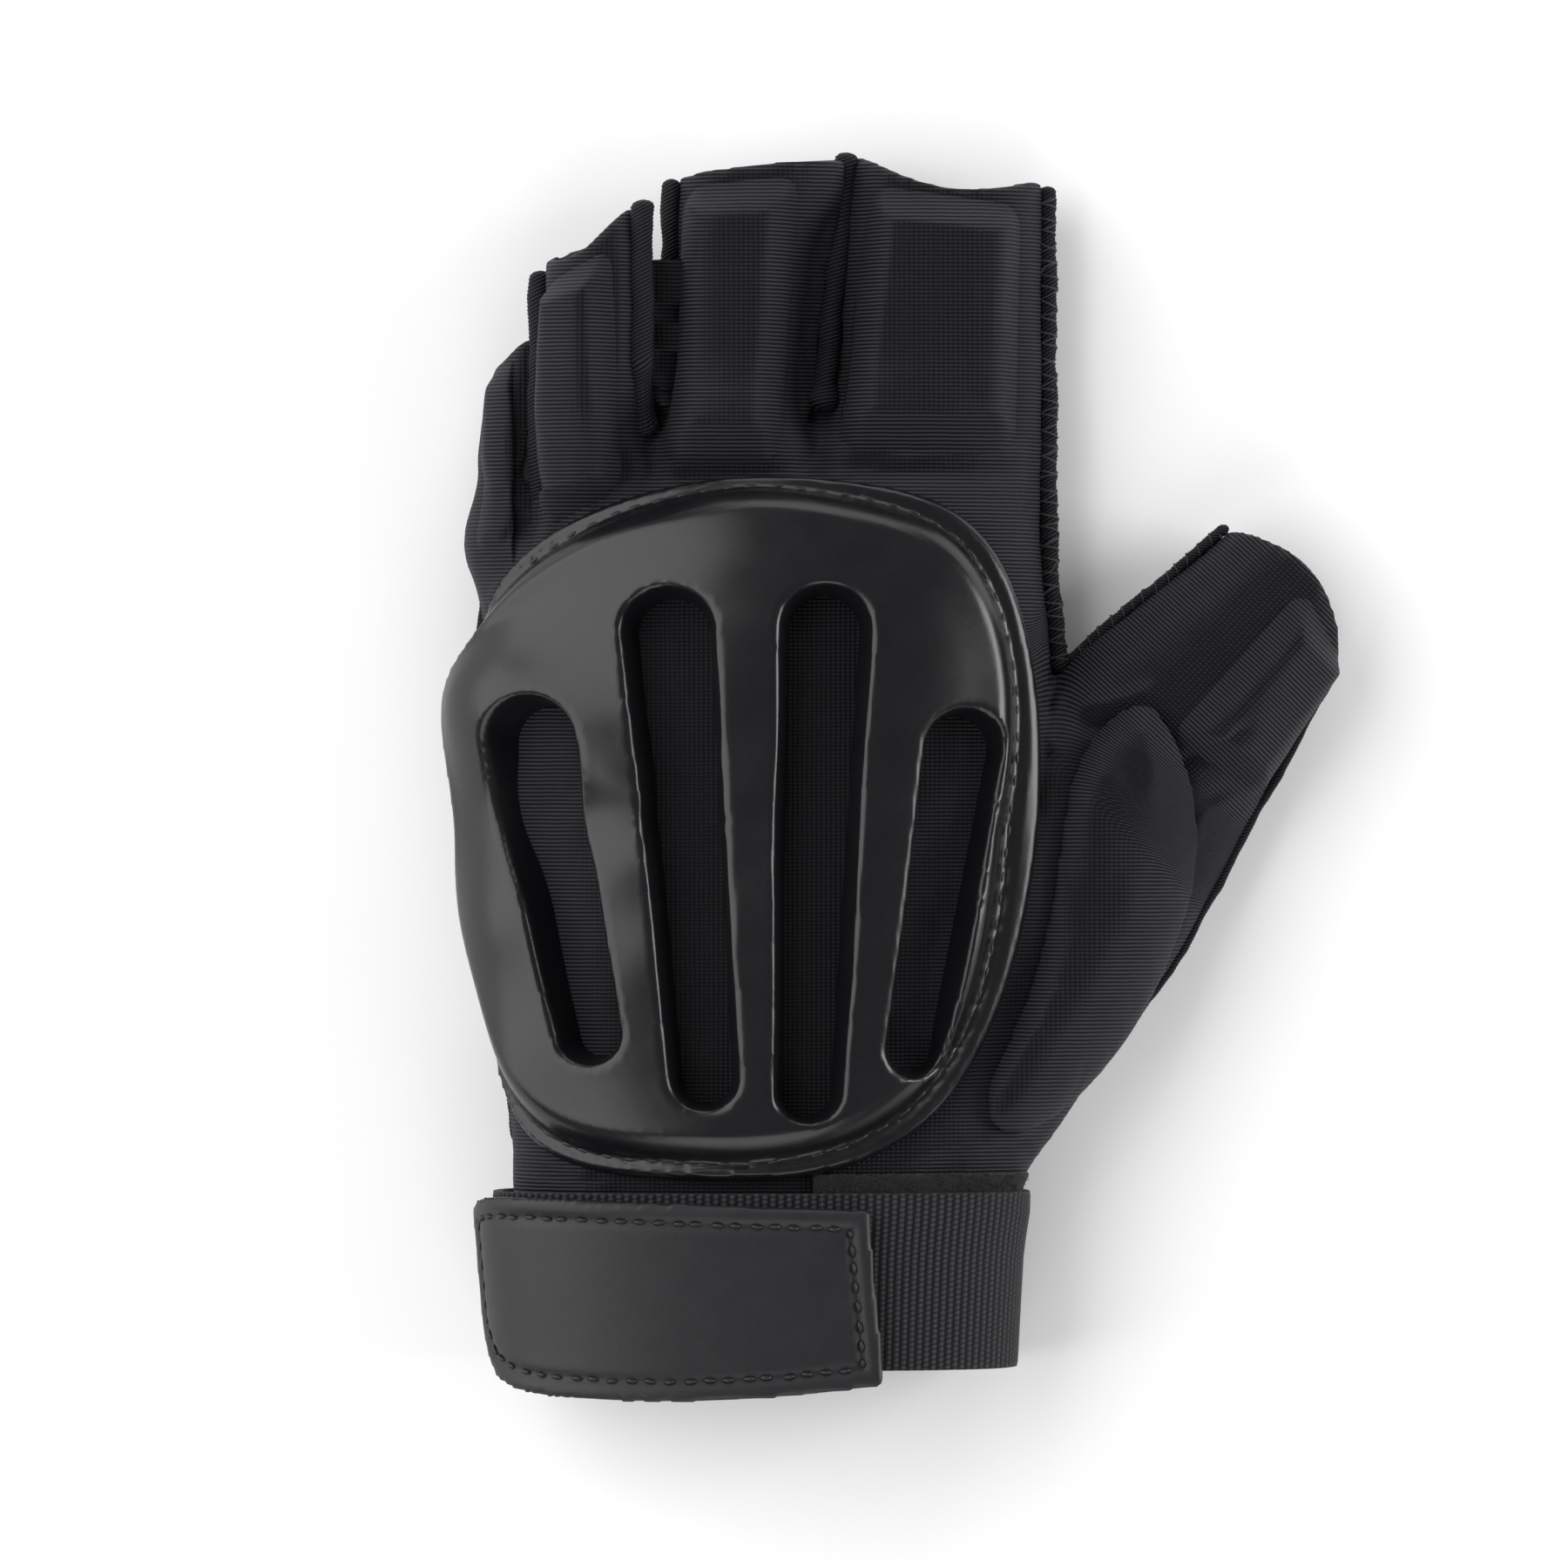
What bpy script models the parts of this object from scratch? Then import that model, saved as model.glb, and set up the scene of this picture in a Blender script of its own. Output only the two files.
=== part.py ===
"""A left field hockey glove, lying palm down with the back of the hand up.

Frame: +Y from the wrist to the fingers, +X to the thumb side, +Z out of the back of the hand.
While it is modelled, the wrist edge is at y = 0, the hand's middle line at x = 0 and the ground at z = 0;
the last step moves the whole glove so that the middle of its footprint is the origin.

Two sewn fabric panels, back and palm, meet at a seam line that runs round every finger and the thumb.
Foam pads, a moulded shell, a thumb base cushion and a wrist closure sit on them with a small clearance.
"""

import math

import bmesh
import bpy
import numpy as np
from mathutils import Vector
from mathutils.bvhtree import BVHTree

# Hand and finger sizes, in metres
HAND_LENGTH = 0.1513  # wrist edge to the finger crotches
HAND_WIDTH = 0.096  # across the back, in plan
HAND_HEIGHT = 0.032  # palm to the top of the back, without the shell
LITTLE_LENGTH = 0.026  # crotch to open end, along each finger
RING_LENGTH = 0.036
MIDDLE_LENGTH = 0.0425
INDEX_LENGTH = 0.0425
THUMB_LENGTH = 0.032
PANEL_WALL = 0.0016  # laminated fabric
SEAM_GAP = 0.0003  # between the two panels at their seam
CLEARANCE = 0.0008  # between a piece and the fabric that it is sewn on
CROTCH_BLEND = 0.014  # the length over which a crotch opens into the hand

# Pads, shell and closure sizes
PAD_HEIGHT = 0.0046
LITTLE_PAD_HEIGHT = 0.0022
PAD_RIM = 0.0012
THUMB_PAD_HEIGHT = 0.0030
SHELL_EDGE = 0.0034  # thickness of the shell at its outer edge
SHELL_CROWN = 0.0078  # thickness of the shell at its middle
SHELL_CLEARANCE = 0.0007
SHELL_GROOVE_DEPTH = 0.0012
SHELL_GROOVE_INSET = 0.0062  # from the shell's edge to the middle of the stitch groove
SHELL_GROOVE_HALF_WIDTH = 0.0016
WINDOW_BEVEL = 0.0028  # how far a window's wall leans out over its depth
CUSHION_HEIGHT = 0.0050
CUSHION_CLEARANCE = 0.0010
BAND_WIDTH = 0.0280
BAND_THICKNESS = 0.0017
BAND_START = 0.0001  # from the wrist edge to the band's lower edge
BAND_CLEARANCE = 0.0005
TAB_WIDTH = 0.0304
TAB_LENGTH = 0.0700  # along the wrist
TAB_THICKNESS = 0.0024
TAB_START = -0.0048
TAB_BOW = 0.0026  # how far the ends of the tab's lower edge stand back from its middle
TAB_SLANT = 0.0024  # how far the tab's upper edge falls towards its sewn end
TAB_CORNER_LENGTH = 0.0150
TAB_CORNER_WIDTH = 0.0085
PATCH_THICKNESS = 0.0009
PATCH_LENGTH = 0.0420
PATCH_PLACE = 0.0560  # from the little finger's side, along the wrist
PATCH_MARGIN = 0.0032  # the stretch of the loop patch that shows above the band
SEAM_RADIUS = 0.0013

# Shape of the sections
ROUND_BACK = 2.4  # superellipse exponents of the hand's back and palm
FLAT_PALM = 4.5
PALM_FLATNESS = 1.01  # over 1, so that the palm's middle is quite flat
SEAM_INSET = 1.35  # walls, from the seam's edge to the inside
FINGER_FULLNESS = 0.80  # exponents of the tubes' round backs: 1 is a half ellipse, lower is squarer
PALM_FULLNESS = 1.00
THUMB_FULLNESS = 0.85
THUMB_SLOPE = (0.48, 0.97)  # shares across the hand between which its height falls to the thumb's
CROTCH_SHARE = 0.13  # share of a finger's length in which it takes its own place beside its neighbour
PAD_STEPS_ACROSS = (0.0, 0.20, 0.50, 0.80, 1.0)  # shares of a pad; the first and last steps are its chamfers
PAD_STEPS_ALONG = (0.0, 0.09, 0.30, 0.50, 0.70, 0.91, 1.0)
SHELL_DOME_REACH = 0.024  # from the shell's edge to its full thickness
SHELL_STEPS = (0.0115, 0.0165, 0.0225, 0.0300)  # rings of the dome, from the shell's edge
CUSHION_ROUNDING = 0.0085  # from the cushion's edge to its full height
CUSHION_RIM = 0.22  # share of its height that the cushion has at its edge
CUSHION_STEPS = (0.0, 0.0016, 0.0045, CUSHION_ROUNDING)
TAB_UPPER_CORNER = 0.3  # size of the tab's upper rounded corner, as a share of the lower one

# The side of the hand away from the thumb, and the heights of the hand's sections.
# along: share of HAND_LENGTH; left: share of HAND_WIDTH; the others: shares of HAND_HEIGHT.
HAND_COLUMNS = ("along", "left", "left_seam", "rise", "thumb_rise", "palm")
HAND_ROWS = (
    (0.00, -0.388, 0.500, 0.470, 0.470, 0.120),
    (0.19, -0.412, 0.500, 0.490, 0.480, 0.120),
    (0.25, -0.408, 0.470, 0.530, 0.470, 0.070),
    (0.36, -0.422, 0.400, 0.610, 0.420, 0.016),
    (0.50, -0.454, 0.330, 0.690, 0.390, 0.000),
    (0.64, -0.488, 0.290, 0.720, 0.370, 0.000),
    (0.72, -0.486, 0.260, 0.730, 0.350, 0.000),
    (0.82, -0.464, 0.210, 0.730, 0.350, 0.020),
    (0.86, -0.460, 0.190, 0.720, 0.350, 0.035),
    (0.91, -0.474, 0.160, 0.690, 0.350, 0.060),
    (1.00, -0.444, 0.120, 0.640, 0.350, 0.090),
)

# The line from the wrist to the thumb crotch and on along the index side, and the thumb's outer edge.
# inner, outer: shares of HAND_WIDTH; outer_along: share of HAND_LENGTH; seams: shares of HAND_HEIGHT.
THUMB_COLUMNS = ("along", "inner", "inner_seam", "outer", "outer_along", "outer_seam")
THUMB_ROWS = (
    (0.000, 0.320, 0.340, 0.398, 0.000, 0.500),
    (0.180, 0.350, 0.340, 0.422, 0.178, 0.500),
    (0.250, 0.370, 0.340, 0.486, 0.240, 0.440),
    (0.350, 0.400, 0.340, 0.572, 0.322, 0.340),
    (0.480, 0.436, 0.340, 0.682, 0.412, 0.300),
    (0.600, 0.464, 0.340, 0.768, 0.510, 0.290),
    (0.729, 0.489, 0.340, 0.836, 0.594, 0.280),
    (0.860, 0.474, 0.320, 0.850, 0.600, 0.280),
    (1.000, 0.474, 0.300, 0.860, 0.610, 0.280),
)
THUMB_CROTCH = 0.729  # share of HAND_LENGTH

# The hand's top row, at the side and the crotches.
# across: share of the back; along: share of HAND_LENGTH; seam: share of HAND_HEIGHT.
CROTCH_COLUMNS = ("across", "along", "seam")
CROTCH_ROWS = (
    (0.000, 0.945, 0.120),
    (0.084, 0.918, 0.430),
    (0.298, 0.993, 0.620),
    (0.588, 1.000, 0.470),
    (1.000, 1.000, 0.300),
)

# The seams of each finger beside its crotches and at its open end: x as a share of HAND_WIDTH,
# z of HAND_HEIGHT, reach of the finger's length. rise and drop are the back's and the palm's bulge,
# shares of HAND_HEIGHT. bow is how far the open end's middle reaches past its corners, a share of
# the finger's length.
FINGER_COLUMNS = (
    "left_x", "left_z", "right_x", "right_z",
    "tip_left_x", "tip_left_z", "tip_right_x", "tip_right_z",
    "left_reach", "right_reach", "bow", "rise", "drop",
)  # fmt: skip
FINGER_ROWS = {
    "little": (-0.450, 0.128, -0.398, 0.465, -0.430, 0.128, -0.376, 0.470, 0.70, 1.04, 0.00, 0.103, 0.275),
    "ring": (-0.350, 0.560, -0.196, 0.780, -0.352, 0.570, -0.208, 0.800, 1.07, 0.99, -0.05, 0.215, 0.160),
    "middle": (-0.148, 0.460, 0.086, 0.440, -0.134, 0.460, 0.128, 0.450, 0.96, 1.00, 0.01, 0.260, 0.245),
    "index": (0.118, 0.400, 0.473, 0.290, 0.165, 0.380, 0.473, 0.280, 1.01, 0.92, -0.07, 0.270, 0.250),
}
FINGER_LENGTHS = {
    "little": LITTLE_LENGTH,
    "ring": RING_LENGTH,
    "middle": MIDDLE_LENGTH,
    "index": INDEX_LENGTH,
}
THUMB_TIP_COLUMNS = ("left_x", "left_y", "left_z", "right_x", "right_y", "right_z", "bow", "rise", "drop")
THUMB_TIP_ROW = (0.306, 0.762, 0.300, 0.138, 0.750, 0.250, 0.17, 0.300, 0.210)

# Foam pads on the fingers' backs: shares across the finger and along it. Below 0 lies the knuckle.
PAD_COLUMNS = ("left", "right", "low", "high", "height")
PADS = {
    "little": (0.17, 0.84, -0.46, 0.90, LITTLE_PAD_HEIGHT),
    "ring": (0.19, 0.80, -0.16, 0.88, PAD_HEIGHT),
    "middle": (0.11, 0.70, -0.12, 0.92, PAD_HEIGHT),
    "index": (0.13, 0.80, -0.08, 0.90, PAD_HEIGHT),
}
THUMB_PAD = (0.56, 0.93, 0.10, 0.90, THUMB_PAD_HEIGHT)

# The shell's outline seen from above: x as shares of HAND_WIDTH, y as shares of HAND_LENGTH, clockwise.
SHELL_OUTLINE = (
    (0.479, 0.692), (0.473, 0.600), (0.457, 0.507), (0.424, 0.415), (0.370, 0.332), (0.290, 0.267),
    (0.185, 0.224), (0.042, 0.204), (-0.148, 0.204), (-0.315, 0.221), (-0.415, 0.258), (-0.449, 0.330),
    (-0.466, 0.410), (-0.492, 0.500), (-0.514, 0.628), (-0.512, 0.725), (-0.478, 0.800), (-0.403, 0.858),
    (-0.294, 0.906), (-0.160, 0.936), (-0.015, 0.949), (0.144, 0.945), (0.285, 0.925), (0.392, 0.876),
    (0.448, 0.800), (0.472, 0.740),
)  # fmt: skip
SHELL_CENTRE = (-0.010, 0.570)

# Vent slots in the shell. They fan out from one point behind the wrist, as the bones of the hand do.
VENT_FAN_CENTRE = (0.02, -0.62)  # shares of HAND_WIDTH and HAND_LENGTH
VENT_COLUMNS = ("angle", "near", "far", "near_half_width", "far_half_width")
# angle in degrees from +Y, near and far as shares of HAND_LENGTH from the fan's centre,
# half widths as shares of HAND_WIDTH
VENT_ROWS = (
    (10.4, 0.990, 1.310, 0.0310, 0.0480),
    (4.1, 0.930, 1.400, 0.0350, 0.0530),
    (-2.3, 0.915, 1.400, 0.0350, 0.0530),
    (-8.6, 0.970, 1.290, 0.0310, 0.0480),
)

# The cushion on the thumb's base, seen from above: shares of HAND_WIDTH and HAND_LENGTH, counter-clockwise.
CUSHION_OUTLINE = (
    (0.660, 0.702), (0.606, 0.696), (0.552, 0.664), (0.518, 0.610), (0.500, 0.535), (0.478, 0.450),
    (0.430, 0.360), (0.380, 0.292), (0.398, 0.252), (0.470, 0.254), (0.560, 0.300), (0.650, 0.378),
    (0.712, 0.462), (0.738, 0.545), (0.722, 0.630),
)  # fmt: skip
CUSHION_CENTRE = (0.600, 0.500)

# Mesh resolution
INNER_RINGS = (0.25, 0.5, 0.75)  # of a plate, shares of the way from its last named ring to its middle
FINGER_CELLS = 6  # across each finger
THUMB_CELLS = 8
PALM_FINGER_CELLS = 4
HAND_ALONG = (
    0.0, 0.095, 0.18, 0.215, 0.25, 0.33, 0.42, 0.51, 0.585, 0.655, THUMB_CROTCH, 0.80, 0.86, 0.91, 0.955, 1.0,
)  # fmt: skip
FINGER_ALONG = (CROTCH_SHARE, 0.28, 0.52, 0.76, 1.0)
THUMB_ALONG = (0.25, 0.5, 0.75, 1.0)
SHELL_SIDES = 52
CUSHION_SIDES = 36
WRIST_CELLS = 24
WRIST_ROWS = (0.0, 0.34, 0.67, 1.0)  # shares of BAND_WIDTH
TAB_CELLS = 16
TAB_ROWS = (0.0, 0.07, 0.22, 0.5, 0.78, 0.93, 1.0)
PATCH_CELLS = 12

# Base colour and roughness of each material
LOOKS = {
    "knit_fabric": ((0.020, 0.020, 0.023), 0.85),
    "palm_suede": ((0.030, 0.030, 0.033), 0.90),
    "moulded_shell": ((0.045, 0.045, 0.048), 0.42),
    "strap_rubber": ((0.050, 0.050, 0.053), 0.60),
    "elastic_webbing": ((0.032, 0.032, 0.035), 0.80),
    "loop_pile": ((0.028, 0.028, 0.030), 0.95),
    "seam_binding": ((0.024, 0.024, 0.027), 0.85),
}


def smooth(low, high, value):
    """0 below low, 1 above high and an S-curve between them."""
    share = np.clip((value - low) / (high - low), 0.0, 1.0)
    return share * share * (3.0 - 2.0 * share)


def mix(a, b, share):
    return a + (b - a) * share


def table_value(columns, rows, name, share):
    """A column of a table at a share of its first column, on a smooth curve through the rows."""
    at = [row[0] for row in rows]
    values = [row[columns.index(name)] for row in rows]
    last = len(at) - 1
    share = min(max(share, at[0]), at[last])
    i = max(k for k in range(last) if at[k] <= share)
    before, after = max(i - 1, 0), min(i + 2, last)
    step = at[i + 1] - at[i]
    slope_0 = (values[i + 1] - values[before]) / (at[i + 1] - at[before]) * step
    slope_1 = (values[after] - values[i]) / (at[after] - at[i]) * step
    s = (share - at[i]) / step
    return (
        values[i] * (2 * s**3 - 3 * s**2 + 1)
        + slope_0 * (s**3 - 2 * s**2 + s)
        + values[i + 1] * (3 * s**2 - 2 * s**3)
        + slope_1 * (s**3 - s**2)
    )


def hand_value(name, share):
    return table_value(HAND_COLUMNS, HAND_ROWS, name, share)


def thumb_value(name, share):
    return table_value(THUMB_COLUMNS, THUMB_ROWS, name, share)


def arch(across, exponent):
    """Height of a superellipse section, 0 at both seams and 1 in the middle."""
    return max(0.0, 1.0 - abs(2.0 * across - 1.0) ** exponent) ** (1.0 / exponent)


FINGERS = tuple(FINGER_ROWS)
CROTCHES = tuple(dict(zip(CROTCH_COLUMNS, row)) for row in CROTCH_ROWS)
BOUNDARIES = tuple(crotch["across"] for crotch in CROTCHES)
THUMB = len(FINGERS)  # the strip after the four fingers


def strip_across(strip, share):
    """Share across the back of the hand, for a share across one finger's strip."""
    return mix(BOUNDARIES[strip], BOUNDARIES[strip + 1], share)


def crotch_along(across):
    return float(np.interp(across, BOUNDARIES, [crotch["along"] for crotch in CROTCHES]))


def plan_point(strip, share, along):
    """x and y of a point of the hand, for a share across a strip and a share along the hand."""
    left = hand_value("left", along) * HAND_WIDTH
    inner = thumb_value("inner", along) * HAND_WIDTH
    if strip < THUMB:
        across = strip_across(strip, share)
        return mix(left, inner, across), along * crotch_along(across) * HAND_LENGTH
    outer = thumb_value("outer", along) * HAND_WIDTH
    inner_y, outer_y = along * HAND_LENGTH, thumb_value("outer_along", along) * HAND_LENGTH
    return mix(inner, outer, share), mix(inner_y, outer_y, share)


def section_height(across, along, side, inset, seams, rises):
    """z of a hand section. side is 1 for the back, -1 for the palm. inset is the depth in from outside."""
    seam = mix(seams[0], seams[1], across) * HAND_HEIGHT
    if side > 0:
        rise = mix(rises[0], rises[1], smooth(*THUMB_SLOPE, across)) * HAND_HEIGHT
        return seam + (rise - inset) * arch(across, ROUND_BACK) + SEAM_GAP / 2
    drop = seam - max(hand_value("palm", along), 0.0) * HAND_HEIGHT
    return seam - (drop - inset) * min(PALM_FLATNESS * arch(across, FLAT_PALM), 1.0) - SEAM_GAP / 2


def whole_section(strip, share, along, side, inset):
    """A point of the section that runs from the little-finger side to the thumb's outer edge."""
    x, y = plan_point(strip, share, along)
    left = hand_value("left", along) * HAND_WIDTH
    outer = thumb_value("outer", along) * HAND_WIDTH
    across = (x - left) / (outer - left)
    seams = (hand_value("left_seam", along), thumb_value("outer_seam", along))
    rises = (hand_value("rise", along), hand_value("thumb_rise", along))
    edge = inset * SEAM_INSET
    x = mix(left + edge, outer - edge, across)
    return np.array((x, y, section_height(across, along, side, inset, seams, rises)))


def split_section(strip, share, along, side, inset):
    """The same where the thumb is apart: one arch over the hand and one over the thumb's base."""
    x, y = plan_point(strip, share, along)
    edge = inset * SEAM_INSET
    inner_seam = thumb_value("inner_seam", along)
    inner = thumb_value("inner", along) * HAND_WIDTH
    if strip < THUMB:
        left = hand_value("left", along) * HAND_WIDTH
        across = strip_across(strip, share)
        x = mix(left + edge, inner - edge, across)
        seams = (hand_value("left_seam", along), inner_seam)
        rises = (hand_value("rise", along), hand_value("rise", along))
        return np.array((x, y, section_height(across, along, side, inset, seams, rises)))
    outer = thumb_value("outer", along) * HAND_WIDTH
    x = mix(inner + edge, outer - edge, share)
    seam = mix(inner_seam, thumb_value("outer_seam", along), share) * HAND_HEIGHT
    bulge = THUMB_TIP_ROW[THUMB_TIP_COLUMNS.index("rise" if side > 0 else "drop")] * HAND_HEIGHT
    z = seam + side * ((bulge - inset) * arch(share, 2.0) + SEAM_GAP / 2)
    return np.array((x, y, z))


def crotch_point(k):
    crotch = CROTCHES[k]
    left = hand_value("left", 1.0) * HAND_WIDTH
    inner = thumb_value("inner", 1.0) * HAND_WIDTH
    return np.array(
        (mix(left, inner, crotch["across"]), crotch["along"] * HAND_LENGTH, crotch["seam"] * HAND_HEIGHT)
    )


def finger_seams(finger, along):
    """The left and right seam points of a finger, at a share of its length. 0 is at its crotches."""
    row = dict(zip(FINGER_COLUMNS, FINGER_ROWS[FINGERS[finger]]))
    length = FINGER_LENGTHS[FINGERS[finger]]
    found = []
    for side, crotch in (("left", crotch_point(finger)), ("right", crotch_point(finger + 1))):
        reach = row[side + "_reach"] * length
        base = np.array((row[side + "_x"] * HAND_WIDTH, crotch[1], row[side + "_z"] * HAND_HEIGHT))
        tip_x = row["tip_" + side + "_x"] * HAND_WIDTH
        tip_z = row["tip_" + side + "_z"] * HAND_HEIGHT
        tip = np.array((tip_x, crotch[1] + reach, tip_z))
        point = mix(base, tip, max(along, 0.0))
        point[0] = mix(crotch[0], point[0], smooth(0.0, CROTCH_SHARE, along))
        point[2] = mix(crotch[2], point[2], smooth(0.0, 2.0 * CROTCH_SHARE, along))
        found.append(point)
    return found


def thumb_seams(along):
    """The inner and outer seam points of the thumb, at a share of its length. 0 is at its crotch."""
    tip = dict(zip(THUMB_TIP_COLUMNS, THUMB_TIP_ROW))
    found = []
    for share, side in ((0.0, "left"), (1.0, "right")):
        x, y = plan_point(THUMB, share, THUMB_CROTCH)
        seam = thumb_value("inner_seam" if side == "left" else "outer_seam", THUMB_CROTCH)
        base = np.array((x, y, seam * HAND_HEIGHT))
        offset = np.array(
            (
                tip[side + "_x"] * HAND_WIDTH,
                tip[side + "_y"] * THUMB_LENGTH,
                (tip[side + "_z"] - seam) * HAND_HEIGHT,
            )
        )
        found.append(base + offset * along)
    return found


def tube_section(left, right, share, rise, side, inset, fullness, reach):
    """A point of a finger's or the thumb's section, between its two seam points."""
    across = right - left
    width = np.linalg.norm(across)
    toward = across / width
    forward = np.array((-toward[1], toward[0], 0.0))
    forward = forward / np.linalg.norm(forward)
    outward = np.cross(toward, forward)
    if outward[2] < 0:
        outward = -outward
    edge = inset * SEAM_INSET
    bulge = (rise - inset) * (2.0 * math.sqrt(share * (1.0 - share))) ** fullness
    section = left + toward * mix(edge, width - edge, share) + outward * side * (bulge + SEAM_GAP / 2)
    return section + forward * reach * 4.0 * share * (1.0 - share)


def finger_point(finger, share, along, side, inset):
    row = dict(zip(FINGER_COLUMNS, FINGER_ROWS[FINGERS[finger]]))
    left, right = finger_seams(finger, along)
    bulge = row["rise" if side > 0 else "drop"] * HAND_HEIGHT
    fullness = FINGER_FULLNESS if side > 0 else PALM_FULLNESS
    reach = row["bow"] * FINGER_LENGTHS[FINGERS[finger]] * max(along, 0.0) ** 2
    return tube_section(left, right, share, bulge, side, inset, fullness, reach)


def thumb_point(share, along, side, inset):
    left, right = thumb_seams(along)
    tip = dict(zip(THUMB_TIP_COLUMNS, THUMB_TIP_ROW))
    bulge = tip["rise" if side > 0 else "drop"] * HAND_HEIGHT
    reach = tip["bow"] * THUMB_LENGTH * max(along, 0.0) ** 2
    return tube_section(left, right, share, bulge, side, inset, THUMB_FULLNESS, reach)


def hand_point(strip, share, along, side, inset):
    """A point of the hand. It opens into the thumb and, at the top row, into the fingers."""
    blend = CROTCH_BLEND / HAND_LENGTH
    split = split_section(strip, share, along, side, inset)
    at_thumb = smooth(THUMB_CROTCH - blend, THUMB_CROTCH, along)
    point = split
    if at_thumb < 1.0:
        point = mix(whole_section(strip, share, along, side, inset), split, at_thumb)
    if strip == THUMB:
        base = thumb_point(share, 0.0, side, inset)
        base[:2] += plan_step(strip, share, along, THUMB_CROTCH)
        return mix(point, base, at_thumb)
    at_fingers = smooth(1.0 - blend, 1.0, along)
    if at_fingers > 0.0:
        base = finger_point(strip, share, 0.0, side, inset)
        base[:2] += plan_step(strip, share, along, 1.0)
        point = mix(point, base, at_fingers)
    return point


def plan_step(strip, share, along, end):
    """From the plan point at the end of a strip to the one at a share along it."""
    here, there = plan_point(strip, share, along), plan_point(strip, share, end)
    return np.array(here) - np.array(there)


def boundary_point(strip, along, side, inset):
    """A point on the line between two strips, shared by both. Inside, it stands back from the crotch."""
    left = hand_point(strip - 1, 1.0, along, side, inset)
    right = hand_point(strip, 0.0, along, side, inset)
    end = THUMB_CROTCH if strip == THUMB else 1.0
    point = (left + right) / 2.0
    point[1] -= inset * SEAM_INSET * smooth(end - CROTCH_BLEND / HAND_LENGTH, end, along)
    return point


def link(name, vertices, faces, look):
    """A new closed object from vertices and faces, with its normals out."""
    mesh = bpy.data.meshes.new(name)
    mesh.from_pydata([tuple(v) for v in vertices], [], [tuple(int(i) for i in f) for f in faces])
    shape = bmesh.new()
    shape.from_mesh(mesh)
    bmesh.ops.recalc_face_normals(shape, faces=shape.faces)
    bmesh.ops.triangulate(shape, faces=shape.faces)
    if shape.calc_volume(signed=True) < 0:
        bmesh.ops.reverse_faces(shape, faces=shape.faces)
    shape.to_mesh(mesh)
    shape.free()
    mesh.shade_smooth()
    mesh.set_sharp_from_angle(angle=math.radians(40))
    made = bpy.data.objects.new(name, mesh)
    GLOVE.objects.link(made)
    finish(made, look)
    return made


def finish(made, look):
    """Gives an object its own plain material."""
    colour, roughness = LOOKS[look]
    material = bpy.data.materials.new(made.name)
    material.use_nodes = True
    shader = material.node_tree.nodes["Principled BSDF"]
    shader.inputs["Base Color"].default_value = (*colour, 1.0)
    shader.inputs["Roughness"].default_value = roughness
    shader.inputs["Metallic"].default_value = 0.0
    made.data.materials.clear()
    made.data.materials.append(material)


def wall_solid(name, outer, inner, faces, look):
    """A closed wall between two matching surfaces, with a rim along every free edge."""
    count = len(outer)
    edges = {}
    for face in faces:
        for a, b in zip(face, face[1:] + face[:1]):
            edges.setdefault((min(a, b), max(a, b)), []).append((a, b))
    rims = [(used[0][1], used[0][0]) for used in edges.values() if len(used) == 1]
    solid = [list(face) for face in faces]
    solid += [[i + count for i in reversed(face)] for face in faces]
    solid += [[a, b, b + count, a + count] for a, b in rims]
    return link(name, list(outer) + list(inner), solid, look)


def even_sheet(name, points, faces, thickness, look):
    """A sheet of even thickness, which grows outward from its inner face."""
    mesh = bpy.data.meshes.new(name)
    mesh.from_pydata([tuple(p) for p in points], [], faces)
    mesh.shade_smooth()
    made = bpy.data.objects.new(name, mesh)
    GLOVE.objects.link(made)
    wall = made.modifiers.new("thickness", "SOLIDIFY")
    wall.thickness = thickness
    wall.offset = 1.0
    wall.use_even_offset = True
    finish(made, look)
    return made


def grid_faces(rows, columns, closed=False):
    last = columns if closed else columns - 1
    return [
        [
            i * columns + j,
            i * columns + (j + 1) % columns,
            (i + 1) * columns + (j + 1) % columns,
            (i + 1) * columns + j,
        ]
        for i in range(rows - 1)
        for j in range(last)
    ]


def spread(cells):
    """Shares across a strip, closer together near its seams."""
    return [(1.0 - math.cos(math.pi * i / cells)) / 2.0 for i in range(cells + 1)]


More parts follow.
